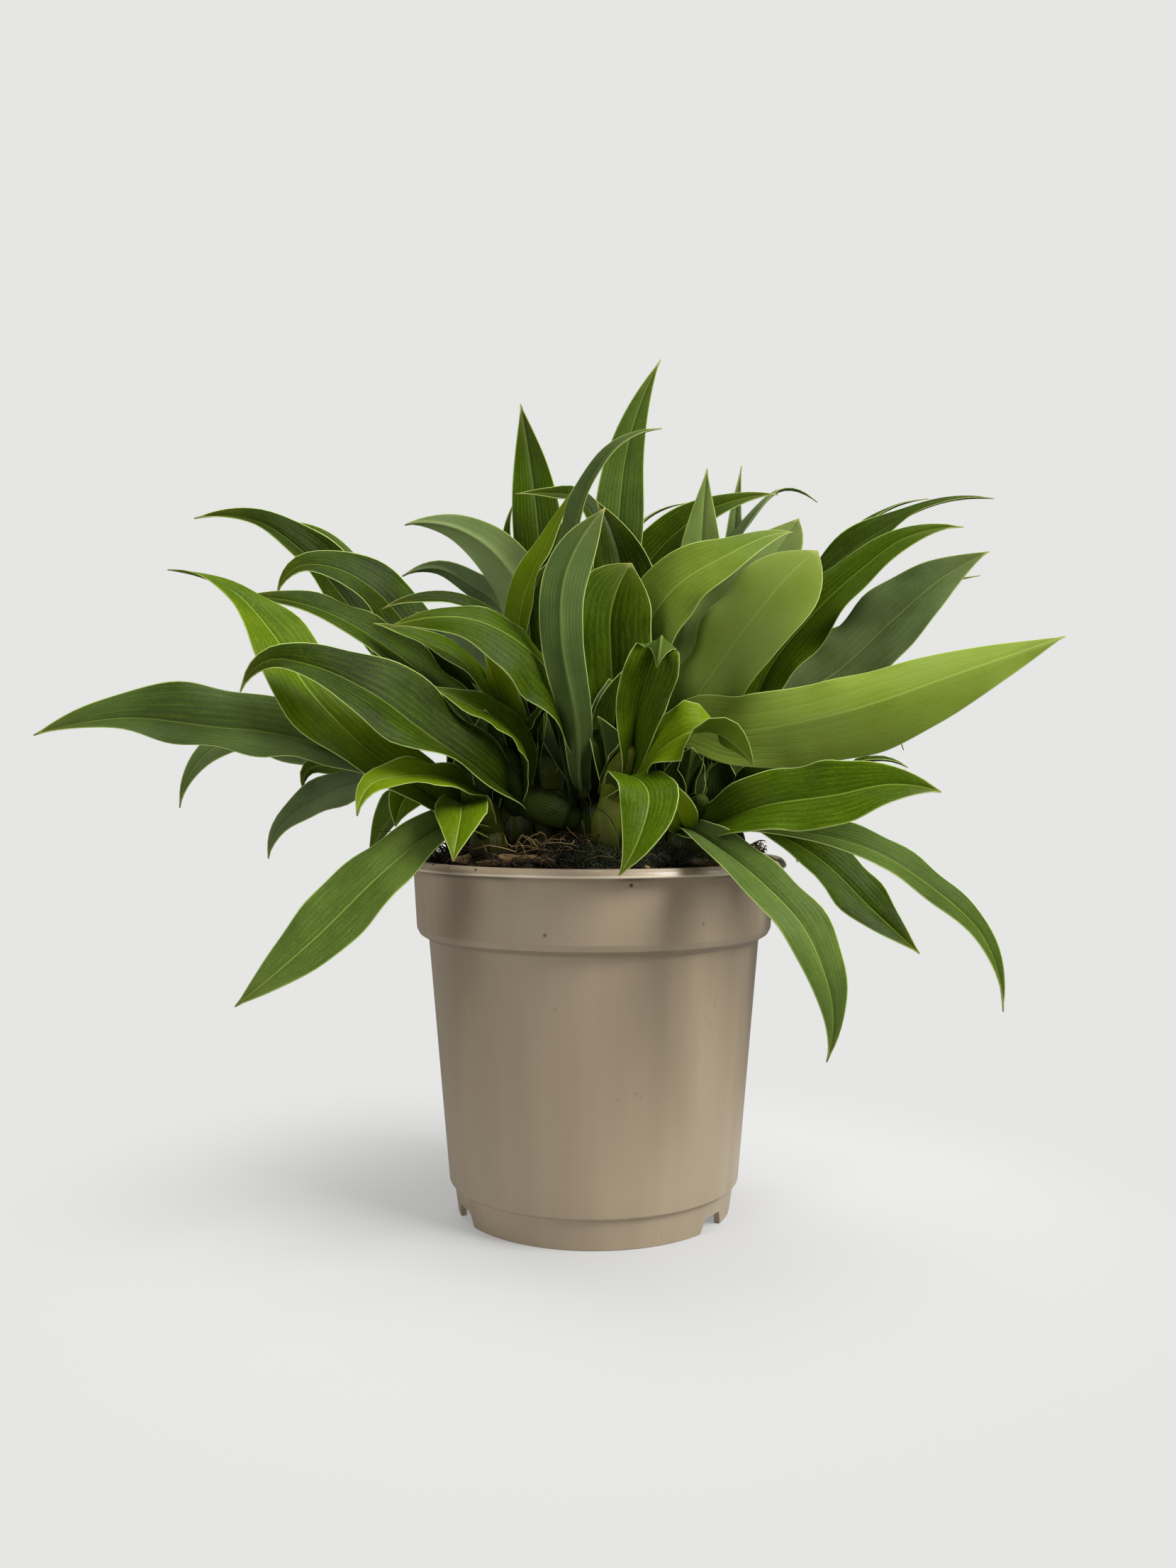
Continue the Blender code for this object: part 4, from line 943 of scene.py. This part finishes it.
def add_bulb(surface, foot, top, radius, tone):
    """A bulb turned about its axis: its radius follows the bulb's shares, averaged over five rows and
    closed at the top, with shallow ribs down its length, a cosine round it."""
    rows, columns = 30, 48
    share = np.linspace(0.0, 1.0, rows)
    turn = turns(columns)
    profile = np.interp(share, BULB_STEPS, BULB_SHARES)
    profile = np.convolve(np.pad(profile, 2, mode="edge"), np.ones(5) / 5.0, "valid")
    profile[-1] = 0.06
    ribs = 1.0 + RIB_DEPTH * np.cos(turn * BULB_RIBS)[None, :] * np.sin(math.pi * share)[:, None]
    reach = radius * profile[:, None] * ribs
    surface.add(around(foot, top, share[:, None], reach, turn), tube_faces(rows, columns), 1,
                u=np.tile(turn / TAU, rows), v=np.repeat(share, columns), tone=tone)


def add_sheath(surface, foot, top, radius, middle, spread, height, tone):
    """A dry sheath wrapped part of the way round a bulb: it follows the bulb's outline a little way off,
    its width narrows to a point at the top, and its two skins lie a quarter of a millimetre apart."""
    rows, columns = 18, 17
    share = np.linspace(0.0, 1.0, rows)
    side = np.linspace(-1.0, 1.0, columns)
    up = SHEATH_START + share * height
    hug = np.maximum(np.interp(up, BULB_STEPS, BULB_SHARES), 0.55) * radius + SHEATH_OFF + 0.5 * share ** 2
    turn = middle + side[None, :] * (spread * (1.0 - share ** 2.2)[:, None] ** 0.6 + 0.02)
    inner, outer = [around(foot, top, up[:, None], (hug + offset)[:, None], turn)
                    for offset in (-SHEATH_SKIN, SHEATH_SKIN)]
    both = np.concatenate([side, side[::-1]])
    surface.add(np.concatenate([outer, inner[:, ::-1]], axis=1), sleeve_faces(rows, columns), 1,
                u=np.tile(both * 0.2 + 0.5, rows), v=np.repeat(up, 2 * columns), tone=tone)


def stem_axis(form):
    """Foot, top and radius of the short stem in which the leaves of a growth clasp each other: it leaves
    the crown in the mean direction of their midribs, turned a little upwards."""
    crown = np.array(form["crown"], float)
    runs = np.array([blade["rib"][0] for blade in form["leaves"]], float) - crown
    way = unit(unit(runs).mean(0) + (0.0, 0.0, 0.5))
    return crown - STEM_BELOW * way, crown + STEM_ABOVE * way, STEM_RADIUS


# How olive the bulbs are, from deep green, 0, to yellow-olive, 1, where it isn't the usual 0.1
BULB_TONES = {"growth_front": 0.95, "growth_front_left": 0.9, "growth_front_left_upper": 0.0,
              "growth_inner_left": 0.6}


class ORCHID_OT_growths(Operator):
    """Grow each growth's bulbs, sheaths and leaves."""

    bl_idname = "orchid.growths"
    bl_label = "Build growths"

    def execute(self, context):
        settings = context.scene.orchid_leaf
        skins = leaf_material(settings), bulb_material()
        for number, (node, form) in enumerate(GROWTHS.items()):
            draw = random.Random(GROWTH_SEED + number)
            surface = Surface()
            for blade in form["leaves"]:
                add_leaf(surface, blade, form["crown"], settings, draw)
            for blade in young_leaves(np.array(form["crown"], float), YOUNG_LEAVES, draw):
                add_leaf(surface, blade, form["crown"], settings, draw, YOUNG_FACES)
            tone = BULB_TONES.get(node, 0.1)
            for foot, top, radius in (*form["bulbs"], stem_axis(form)):
                add_bulb(surface, foot, top, radius, tone)
                begin = draw.uniform(0.0, TAU)
                for layer in range(SHEATHS):
                    add_sheath(surface, foot, top, radius, begin + SHEATH_TURN * layer,
                               draw.uniform(1.1, 1.6), draw.uniform(0.55, 0.8),
                               0.8 * tone + draw.uniform(0.0, 0.2))
            settle(surface.build(node.capitalize(), *skins), "foliage", node)
        return {"FINISHED"}


def softened(points, radius, steps=4):
    """An outline with each corner replaced by a short parabola that leaves and meets the sides the radius
    away, or a third of the side where it is short."""
    points = np.array(points, float)
    made = [points[:1]]
    for before, corner, after in zip(points, points[1:], points[2:]):
        lead, trail = before - corner, after - corner
        first = corner + lead * min(radius / np.linalg.norm(lead), 0.33)
        last = corner + trail * min(radius / np.linalg.norm(trail), 0.33)
        step = np.linspace(0.0, 1.0, steps)[:, None]
        made.append((1 - step) ** 2 * first + 2 * step * (1 - step) * corner + step ** 2 * last)
    return np.concatenate([*made, points[-1:]])


def inner_wall():
    """Radius and height up the pot's inner wall, from its floor to the rim."""
    return [
        (FOOT_TOP_RADIUS - 2.1, FLOOR_RAISE + FLOOR_THICKNESS),
        (FOOT_TOP_RADIUS - 1.6, BODY_BOTTOM - 0.4),
        (BODY_BOTTOM_RADIUS - WALL, BODY_BOTTOM + 2.4),
        (BODY_TOP_RADIUS - WALL, BODY_TOP + 0.5),
        (COLLAR_BOTTOM_RADIUS - WALL, COLLAR_BOTTOM + 0.8),
        (COLLAR_TOP_RADIUS - WALL, LIP_BOTTOM + 1.2),
    ]


def inner_radius(height):
    """The pot's inner radius at a height above its floor."""
    radii, heights = np.array(inner_wall()).T
    return float(np.interp(height, heights, radii))


def pot_profile():
    """The pot's wall from the middle of its inner floor, round the rim and down to the pad beneath."""
    floor_top = FLOOR_RAISE + FLOOR_THICKNESS
    inner_foot = FOOT_BOTTOM_RADIUS - FOOT_WALL
    return [
        (0.0, FLOOR_THICKNESS),
        (PAD_RADIUS - 1.0, FLOOR_THICKNESS),
        (PAD_RADIUS + 0.4, floor_top),
        *inner_wall(),
        (COLLAR_TOP_RADIUS + 0.2, POT_HEIGHT),
        (LIP_TOP_RADIUS, POT_HEIGHT),
        (RIM_RADIUS - 0.5, POT_HEIGHT - 0.9),
        (RIM_RADIUS, LIP_BOTTOM + 0.5),
        (RIM_RADIUS - 0.3, LIP_BOTTOM),
        (COLLAR_TOP_RADIUS, LIP_BOTTOM),
        (COLLAR_BOTTOM_RADIUS, COLLAR_BOTTOM),
        (COLLAR_BOTTOM_RADIUS - 0.9, COLLAR_BOTTOM - 1.8),
        (BODY_TOP_RADIUS + 0.8, BODY_TOP + 0.4),
        (BODY_TOP_RADIUS, BODY_TOP),
        (BODY_BOTTOM_RADIUS, BODY_BOTTOM),
        (FOOT_TOP_RADIUS, FOOT_HEIGHT),
        (FOOT_BOTTOM_RADIUS, 0.0),
        (inner_foot, 0.0),
        (inner_foot + 0.3, FLOOR_RAISE),
        (PAD_RADIUS + 1.4, FLOOR_RAISE),
        (PAD_RADIUS, 0.0),
        (0.0, 0.0),
    ]


def turned(outline, steps):
    """An outline of radius and height, from axis to axis, turned about +Z: the cosine and the sine of the
    turn times the radius. One point closes each pole, and long sides are split so that rings stay even."""
    counts = np.maximum(1, np.linalg.norm(np.diff(outline, axis=0), axis=1) // 6.0).astype(int)
    at = np.concatenate([number + np.arange(count) / count for number, count in enumerate(counts)])[1:]
    radius, height = [np.interp(at, np.arange(len(outline)), column) for column in outline.T]
    poles = [[0.0, 0.0, outline[0, 1]], [0.0, 0.0, outline[-1, 1]]]
    points = np.concatenate([rings(radius, height, steps).reshape(-1, 3), poles])
    return points, pole_faces(len(radius), steps)


def pole_faces(rows, steps):
    """Faces of rings that run from one pole to the other, the two poles being the last points. They face
    out where the rings run up the inside and down the outside, or outwards and down."""
    here = np.arange(steps)
    after = np.roll(here, -1)
    low, count = (rows - 1) * steps, rows * steps
    return [grid_quads(rows, steps, closed=True)[:, ::-1],
            np.stack([np.full(steps, count), here, after], -1),
            np.stack([np.full(steps, count + 1), after + low, here + low], -1)]


def notch_cutter(angle):
    """A wedge across the foot ring, narrower at the top, with its edges rounded."""
    low, high = NOTCH_HALF_WIDTH + 0.6, NOTCH_TOP_HALF_WIDTH
    sides = ((-low, -1.0), (low, -1.0), (high, NOTCH_TOP), (-high, NOTCH_TOP))
    ends = FOOT_BOTTOM_RADIUS - 2.6, FOOT_BOTTOM_RADIUS + 4.0
    corners = np.array([(end, side, height) for end in ends for side, height in sides])
    surface = Surface()
    surface.add(spin(corners, (0.0, 0.0, angle)), tube_faces(2, 4))
    cutter = surface.build("notch")
    bevel = cutter.modifiers.new("round", "BEVEL")
    bevel.width = NOTCH_ROUNDING * MM
    bevel.segments = 4
    return cutter


def drain_cutter(angle):
    """A round plug through the floor."""
    steps = 24
    heights = np.array([FLOOR_RAISE - 2.0, FLOOR_RAISE + FLOOR_THICKNESS + 2.0])
    centre = DRAIN_CIRCLE * np.array([math.cos(angle), math.sin(angle), 0.0])
    surface = Surface()
    surface.add(rings(np.full(2, DRAIN_HOLE_RADIUS), heights, steps) + centre, tube_faces(2, steps))
    return surface.build("drain")


class ORCHID_OT_pot(Operator):
    """Turn the pot with its rim, collar and foot, and cut its drain notches and holes."""

    bl_idname = "orchid.pot"
    bl_label = "Build pot"

    def execute(self, context):
        settings = context.scene.orchid_pot
        surface = Surface()
        surface.add(*turned(softened(pot_profile(), CORNER_RADIUS), settings.steps))
        pot = surface.build("Pot", pot_material(settings))
        cutters = bpy.data.collections.new("pot_cutters")
        for number in range(NOTCHES):
            cutters.objects.link(notch_cutter(math.radians(NOTCH_ANGLE) + TAU * number / NOTCHES))
        for number in range(DRAIN_HOLES):
            cutters.objects.link(drain_cutter(TAU * (number + 0.5) / DRAIN_HOLES))
        cut = pot.modifiers.new("drains", "BOOLEAN")
        cut.operand_type = "COLLECTION"
        cut.collection = cutters
        cut.solver = "MANIFOLD"
        context.view_layer.update()
        mesh = bpy.data.meshes.new_from_object(pot.evaluated_get(context.evaluated_depsgraph_get()))
        pot.modifiers.clear()
        pot.data = mesh
        for cutter in list(cutters.objects):
            bpy.data.objects.remove(cutter, do_unlink=True)
        bpy.data.collections.remove(cutters)
        mesh.set_sharp_from_angle(angle=math.radians(POT_EDGE))
        settle(pot, "pot", "pot")
        return {"FINISHED"}


def mix_reach():
    """Radius of the mix at its edge."""
    return inner_radius(MIX_EDGE) - GAP


def mix_height(x, y):
    """Height of the heaped mix: a dome that falls from the middle with the cube of the way out. Shallow
    waves lie over it, a sine of x times a cosine of y and a slanting sine, and die out at the wall."""
    share = np.clip(np.hypot(x, y) / mix_reach(), 0.0, 1.0)
    dome = MIX_EDGE + (MIX_MIDDLE - MIX_EDGE) * (1.0 - share ** 3)
    waves = np.sin(x * 0.31 + 1.3) * np.cos(y * 0.27 - 0.6) + 0.6 * np.sin(x * 0.13 - y * 0.36)
    return dome + MIX_BUMP * waves * (1.0 - share ** 6)


def crumble(x, y, draw):
    """Fine unevenness: the sum of sine waves of random length and direction, the shorter the lower."""
    length, angle, phase = [draw.uniform(*ends, CRUMB_WAVES)
                            for ends in (CRUMB_LENGTHS, (0.0, TAU), (0.0, TAU))]
    way = x[..., None] * np.cos(angle) + y[..., None] * np.sin(angle)
    waves = (length / CRUMB_LENGTHS[1]) ** 0.6 * np.sin(TAU / length * way + phase)
    return CRUMB_HEIGHT * waves.sum(-1)


class ORCHID_OT_mix(Operator):
    """Heap the potting mix in the pot."""

    bl_idname = "orchid.mix"
    bl_label = "Build potting mix"

    def execute(self, context):
        share = np.arange(1, MIX_RINGS + 1) / MIX_RINGS
        top = rings(mix_reach() * share, share, MIX_STEPS)
        x, y = top[..., 0], top[..., 1]
        crumbs = crumble(x, y, np.random.default_rng(CRUMB_SEED))
        top[..., 2] = mix_height(x, y) + crumbs * (1.0 - share[:, None] ** 12)
        # The side keeps the gap to the pot's inner wall, and the underside keeps it to the pot's floor
        radii, heights = np.array(inner_wall()[1:-1])[::-1].T
        floor = FLOOR_RAISE + FLOOR_THICKNESS + GAP
        radii, heights = np.append(radii, inner_radius(floor)) - GAP, np.append(heights, floor)
        side = rings(radii, heights, MIX_STEPS)
        poles = [[0.0, 0.0, float(mix_height(0.0, 0.0))], [0.0, 0.0, floor]]
        surface = Surface()
        surface.add(np.concatenate([*top, *side, poles]), pole_faces(MIX_RINGS + len(radii), MIX_STEPS))
        settle(surface.build("Potting_mix", mix_material(context.scene.orchid_mix)), "mix", "potting_mix")
        return {"FINISHED"}


def spin(points, angles):
    """Points turned about X, then Y, then Z, by angles in radians."""
    for (first, second), angle in zip(((1, 2), (2, 0), (0, 1)), angles):
        across, over = points[..., first], points[..., second]
        spun = points.copy()
        spun[..., first] = across * math.cos(angle) - over * math.sin(angle)
        spun[..., second] = across * math.sin(angle) + over * math.cos(angle)
        points = spun
    return points


def add_chip(surface, centre, size, angles, tone, look):
    """A broken chip: seven-cornered rings along its grain, each corner pushed in or out at random, the
    ends squeezed by the cube of the way along, and the flat sides kept square by a root of the sine."""
    rows, corners = 7, 7
    share = np.linspace(-1.0, 1.0, rows)
    turn = turns(corners)
    swell = (1.0 - 0.5 * np.abs(share) ** 3)[:, None] * look.uniform(0.72, 1.12, (rows, corners)) / 2.0
    flat = np.sign(np.sin(turn)) * np.abs(np.sin(turn)) ** 0.7
    ends = share[:, None] + look.uniform(-0.08, 0.08, (rows, corners))
    points = np.stack([ends * size[0] / 2.0, swell * np.cos(turn) * size[1], swell * flat * size[2]], -1)
    surface.add(spin(points, angles) + np.array(centre), tube_faces(rows, corners),
                u=np.repeat(share * 0.5 + 0.5, corners), v=np.tile(turn / TAU, rows), tone=tone)


def scattered_chips():
    """Centre, size and angles of the large chips, by the same seeded draws as in the solids."""
    draw = random.Random(CHIP_SEED)
    feet = [form["bulbs"][0][0] for form in GROWTHS.values()]
    chips = []
    while len(chips) < LARGE_CHIPS:
        angle = draw.uniform(0.0, TAU)
        reach = draw.uniform(14.0, 47.0)
        x, y = reach * math.cos(angle), reach * math.sin(angle)
        if min(math.hypot(x - foot[0], y - foot[1]) for foot in feet) < 11.0:
            continue
        size = draw.uniform(6.0, 10.0), draw.uniform(4.0, 6.0), 4.0
        angles = draw.uniform(-0.25, 0.25), draw.uniform(-0.25, 0.25), draw.uniform(0.0, math.pi)
        chips.append(((x, y, float(mix_height(x, y)) - 0.4), size, angles))
    return chips


# Longer dry strips of bark, most of them along the front of the rim: x, y, turn in radians, and length.
# They share one width, thickness and height above the mix
STRIPS = ((-27, -42, -0.35, 15), (-17, -46, -0.1, 12), (-22, -44, 0.2, 10), (-12, -45, 0.3, 9),
          (-36, -33, 0.5, 11), (31, -40, 0.65, 13), (45, -22, 1.1, 12), (20, 46, 0.4, 15),
          (-35, 36, 0.8, 13))
STRIP_WIDTH = 3.0
STRIP_THICKNESS = 2.4
STRIP_LIFT = 2.4

# How far out the small chips lie
CHIP_REACH = 51.0


class ORCHID_OT_chips(Operator):
    """Scatter bark chips over the mix."""

    bl_idname = "orchid.chips"
    bl_label = "Scatter bark chips"

    def execute(self, context):
        settings = context.scene.orchid_mix
        look = np.random.default_rng(BROKEN_SEED)
        surface = Surface()
        for centre, size, angles in scattered_chips():
            add_chip(surface, centre, size, angles, look.uniform(0.1, 0.6), look)
        for _ in range(settings.chips):
            angle, reach = look.uniform(0.0, TAU), CHIP_REACH * math.sqrt(look.uniform(0.0, 1.0))
            x, y = reach * math.cos(angle), reach * math.sin(angle)
            long = look.uniform(1.5, 6.5)
            add_chip(surface, (x, y, float(mix_height(x, y)) + 0.2),
                     (long, long * look.uniform(0.35, 0.6), long * look.uniform(0.2, 0.4)),
                     (look.uniform(-0.5, 0.5), look.uniform(-0.4, 0.4), look.uniform(0.0, TAU)),
                     look.uniform(0.0, 1.0) ** 2, look)
        for x, y, turn, long in STRIPS:
            add_chip(surface, (x, y, float(mix_height(x, y)) + STRIP_LIFT),
                     (long, STRIP_WIDTH, STRIP_THICKNESS), (0.2, look.uniform(-0.15, 0.15), turn),
                     look.uniform(0.8, 1.0), look)
        chips = surface.build("Bark_chips", bark_material(settings))
        chips.data.set_sharp_from_angle(angle=math.radians(CHIP_EDGE))
        settle(chips, "mix")
        return {"FINISHED"}


def strands(roots, headings, lengths, lifts, radii, draw, rows=8, corners=3):
    """Many thin tubes at once. Each starts at its root, heads off and turns at a steady rate of its own,
    rises and falls as a part of a sine, wobbles a little, and thins towards its end."""
    count = len(roots)
    share = np.linspace(0.0, 1.0, rows)[None, :]
    heading = headings[:, None] + draw.uniform(-2.2, 2.2, (count, 1)) * share
    step = lengths[:, None] / (rows - 1)
    x = roots[:, :1] + np.cumsum(np.cos(heading) * step, 1)
    y = roots[:, 1:2] + np.cumsum(np.sin(heading) * step, 1)
    z = roots[:, 2:] + lifts[:, None] * np.sin(math.pi * share * draw.uniform(0.55, 1.15, (count, 1)))
    path = np.stack([x, y, z], -1) + draw.normal(0.0, 0.18, (count, rows, 3))
    along = unit(np.gradient(path, axis=1))
    side = unit(np.cross(along, (0.0, 0.0, 1.0)))
    over = np.cross(along, side)
    turn = turns(corners)[:, None]
    ring = side[:, :, None, :] * np.cos(turn) + over[:, :, None, :] * np.sin(turn)
    points = path[:, :, None, :] + (radii[:, None] * (1.0 - 0.7 * share))[..., None, None] * ring
    first = (np.arange(count) * rows * corners)[:, None, None]
    faces = [(block[None] + first).reshape(-1, block.shape[1]) for block in tube_faces(rows, corners)]
    return points.reshape(-1, 3), faces


# Tones that a strand is drawn from: 0 to 0.74 runs from black through brown to straw, 0.78 to 1 from
# dark to light green
BROWN = (0.0, 0.02, 0.05, 0.09, 0.13, 0.2, 0.3, 0.6)
GREEN = (0.79, 0.82, 0.86, 0.92, 1.0, 0.05, 0.2)
RUSTY = (0.3, 0.42, 0.52, 0.6, 0.66)
UMBER = (0.03, 0.06, 0.12, 0.22, 0.34, 0.5)
STRAW = (0.55, 0.64, 0.7, 0.73)
BLACK = (0.0, 0.05, 0.12)

# Tangles on the mix: how many strands, their centre and spread, heights above the mix, lengths, lifts,
# radii and tones. The moss stands at the front, the rusty clump of roots beside the rim at the right
TANGLES = (
    (280, (-8.0, -44.0), (20.0, 4.0), (0.0, 1.2), (4.0, 14.0), (1.0, 4.0), (0.10, 0.28), BROWN),
    (34, (-13.0, -42.0), (7.0, 3.0), (1.0, 5.0), (7.0, 16.0), (1.0, 4.0), (0.12, 0.22), STRAW),
    (110, (-7.0, -43.0), (3.0, 2.5), (0.0, 3.0), (3.0, 9.0), (1.0, 5.0), (0.10, 0.26), UMBER),
    (620, (-1.0, -45.0), (4.0, 3.5), (0.0, 3.0), (2.0, 5.0), (0.8, 3.0), (0.10, 0.20), GREEN),
    (760, (23.0, -41.0), (9.0, 4.5), (0.0, 2.2), (2.0, 5.0), (0.8, 3.0), (0.10, 0.20), GREEN),
    (120, (45.5, -15.0), (4.5, 6.5), (0.0, 1.0), (6.0, 14.0), (1.5, 5.5), (0.18, 0.46), RUSTY),
    (110, (-44.0, -10.0), (3.0, 8.0), (0.0, 1.0), (4.0, 12.0), (1.0, 5.0), (0.12, 0.26), BLACK),
)

# A few wiry roots that stand out over the rim at the left: root, heading, length, lift and radius
WIRY_ROOTS = (
    ((-49.0, -12.0, 110.0), 3.3, 15.0, 7.5, 0.28),
    ((-48.0, -4.0, 110.5), 2.9, 12.0, 9.0, 0.24),
    ((-47.0, -20.0, 110.0), 3.7, 11.0, 6.0, 0.26),
    ((-49.0, 4.0, 110.0), 2.8, 9.0, 7.0, 0.22),
)

# How far out strands start, where they begin to bend along the rim's wall, and the room they have there
FIBRE_REACH = 50.0
BEND_START = 49.0
BEND_ROOM = 5.4


class ORCHID_OT_fibres(Operator):
    """Lay fine roots and moss over the mix."""

    bl_idname = "orchid.fibres"
    bl_label = "Lay fibres and moss"

    def execute(self, context):
        draw = np.random.default_rng(FIBRE_SEED)
        surface = Surface()
        everywhere = (context.scene.orchid_mix.fibres, (0.0, 0.0), (27.0, 27.0), (-0.2, 0.6), (5.0, 16.0),
                      (0.4, 3.0), (0.10, 0.26), BROWN)
        for count, centre, spread, heights, lengths, lifts, radii, tones in (everywhere, *TANGLES):
            places = draw.normal(0.0, 1.0, (count, 2)) * spread + centre
            places *= np.minimum(1.0, FIBRE_REACH / np.hypot(*places.T))[:, None]
            ground = mix_height(*places.T) + draw.uniform(*heights, count)
            points, faces = strands(np.column_stack([places, ground]), draw.uniform(0.0, TAU, count),
                                    draw.uniform(*lengths, count), draw.uniform(*lifts, count),
                                    draw.uniform(*radii, count), draw)
            # Strands that would cross the rim's wall bend along it instead
            reach = np.hypot(points[:, 0], points[:, 1])
            bent = BEND_START + BEND_ROOM * np.tanh((reach - BEND_START) / BEND_ROOM)
            points[:, :2] *= (np.minimum(reach, bent) / reach)[:, None]
            surface.add(points, faces, tone=np.repeat(draw.choice(tones, count), len(points) // count))
        wiry = [np.array(column) for column in zip(*WIRY_ROOTS)]
        surface.add(*strands(*wiry, draw), tone=0.05)
        settle(surface.build("Root_and_moss_fibres", fibre_material()), "mix")
        return {"FINISHED"}


# Drops of water on the lying bulb: share of the way along it, turn about it in degrees, and radius
DROPS = ((0.50, 140.0, 0.75), (0.62, 135.0, 0.5), (0.32, 95.0, 0.6), (0.40, 78.0, 0.45), (0.27, 118.0, 0.4))
DROP_FLATNESS = 0.6
DROP_STEPS = 16


class ORCHID_OT_drops(Operator):
    """Set drops of water on the lying bulb: flattened balls, a third of each sunk in its sheath."""

    bl_idname = "orchid.drops"
    bl_label = "Set water drops"

    def execute(self, context):
        foot, top, radius = GROWTHS["growth_front_left_upper"]["bulbs"][1]
        down = np.linspace(0.0, math.pi, 9)
        surface = Surface()
        for share, turn, size in DROPS:
            reach = np.array(np.interp(share, BULB_STEPS, BULB_SHARES) * radius + 0.5 + 0.1 * size)
            centre = around(foot, top, np.array(share), reach, np.array(math.radians(turn)))
            outline = np.stack([size * np.sin(down), DROP_FLATNESS * size * np.cos(down)], 1)
            points, faces = turned(outline, DROP_STEPS)
            surface.add(points + centre, faces)
        settle(surface.build("Water_drops", water_material()), "foliage")
        return {"FINISHED"}


# Lamps: name, place, width and height in metres, power in watts, and whether glossy skins show it
LAMPS = (
    ("Key", (1.55, -0.85, 1.65), 1.2, 1.2, 84.0, True),
    ("Above", (0.50, 0.20, 2.20), 1.4, 1.4, 22.0, True),
    ("Fill", (-1.00, -1.15, 0.40), 0.5, 1.3, 9.0, True),
    ("Back", (-0.60, 1.30, 1.90), 1.4, 1.4, 30.0, False),
)
LAMP_AIM = (0.0, 0.0, 0.12)

# How far the floor runs out from the pot, in metres, and the strength of the room's light
FLOOR_REACH = 4.0
ROOM_LIGHT = 0.14


def add_lamp(name, place, width, height, power, shows_in_gloss):
    """A soft rectangular light aimed at the plant, with or without a reflection on glossy skins."""
    lamp = bpy.data.lights.new(name, "AREA")
    lamp.shape = "RECTANGLE"
    lamp.size, lamp.size_y = width, height
    lamp.energy = power
    rig = link(bpy.data.objects.new(name, lamp))
    rig.visible_glossy = shows_in_gloss
    rig.location = place
    run = np.array(LAMP_AIM) - np.array(place)
    rig.rotation_euler = (math.atan2(math.hypot(run[0], run[1]), -run[2]), 0.0,
                          math.atan2(run[1], run[0]) - math.pi / 2.0)


class ORCHID_OT_stage(Operator):
    """Set the floor, the light and the camera."""

    bl_idname = "orchid.stage"
    bl_label = "Set the stage"

    def execute(self, context):
        settings = context.scene.orchid_stage
        scene = context.scene
        surface = Surface()
        line = np.linspace(-FLOOR_REACH, FLOOR_REACH, 9) / MM
        x, y = np.meshgrid(line, line)
        surface.add(np.stack([x, y, np.zeros_like(x)], -1), [grid_quads(*x.shape)])
        surface.build("Floor", paper_material(settings))
        world = bpy.data.worlds.new("Studio")
        scene.world = world
        node = emptied(world)
        # The room lights the plant less than the bright backdrop behind it would
        dim = node("Background", {"Color": settings.pale, "Strength": ROOM_LIGHT})
        shown = node("Background", {"Color": settings.pale, "Strength": 1.0})
        node("OutputWorld", {"Surface": node("MixShader", [node("LightPath"), dim, shown])})
        for lamp in LAMPS:
            add_lamp(*lamp)
        scene.view_settings.view_transform = "Standard"
        camera = bpy.data.cameras.new("Camera")
        camera.sensor_width = SENSOR
        camera.lens = FOCAL_PIXELS / IMAGE_HEIGHT * SENSOR
        camera.clip_start = 0.01
        rig = link(bpy.data.objects.new("Camera", camera))
        rig.location = (settings.aside, -settings.distance, settings.height)
        rig.rotation_euler = (math.radians(90.0 - TILT), 0.0, 0.0)
        scene.camera = rig
        return {"FINISHED"}


OPERATORS = (ORCHID_OT_pot, ORCHID_OT_mix, ORCHID_OT_chips, ORCHID_OT_fibres, ORCHID_OT_growths,
             ORCHID_OT_drops, ORCHID_OT_stage)
SETTINGS = {"orchid_pot": OrchidPotSettings, "orchid_mix": OrchidMixSettings,
            "orchid_leaf": OrchidLeafSettings, "orchid_stage": OrchidStageSettings}


class VIEW3D_PT_orchid(Panel):
    """The orchid's steps and settings in the 3D view's sidebar."""

    bl_label = "Potted orchid"
    bl_category = "Orchid"
    bl_space_type = "VIEW_3D"
    bl_region_type = "UI"

    def draw(self, context):
        for operator in OPERATORS:
            self.layout.operator(operator.bl_idname)
        for name, kind in SETTINGS.items():
            box = self.layout.box()
            for field in kind.__annotations__:
                box.prop(getattr(context.scene, name), field)


def register():
    """Make the classes known, and give each scene the settings."""
    for kind in (*SETTINGS.values(), *OPERATORS, VIEW3D_PT_orchid):
        bpy.utils.register_class(kind)
    for name, kind in SETTINGS.items():
        setattr(bpy.types.Scene, name, PointerProperty(type=kind))


def unregister():
    """Take back what register did."""
    for name in SETTINGS:
        delattr(bpy.types.Scene, name)
    for kind in (VIEW3D_PT_orchid, *OPERATORS, *SETTINGS.values()):
        bpy.utils.unregister_class(kind)


def main():
    """Build the orchid and its stage."""
    register()
    bpy.ops.orchid.pot()
    bpy.ops.orchid.mix()
    bpy.ops.orchid.chips()
    bpy.ops.orchid.fibres()
    bpy.ops.orchid.growths()
    bpy.ops.orchid.drops()
    bpy.ops.orchid.stage()


if __name__ == "__main__":
    main()
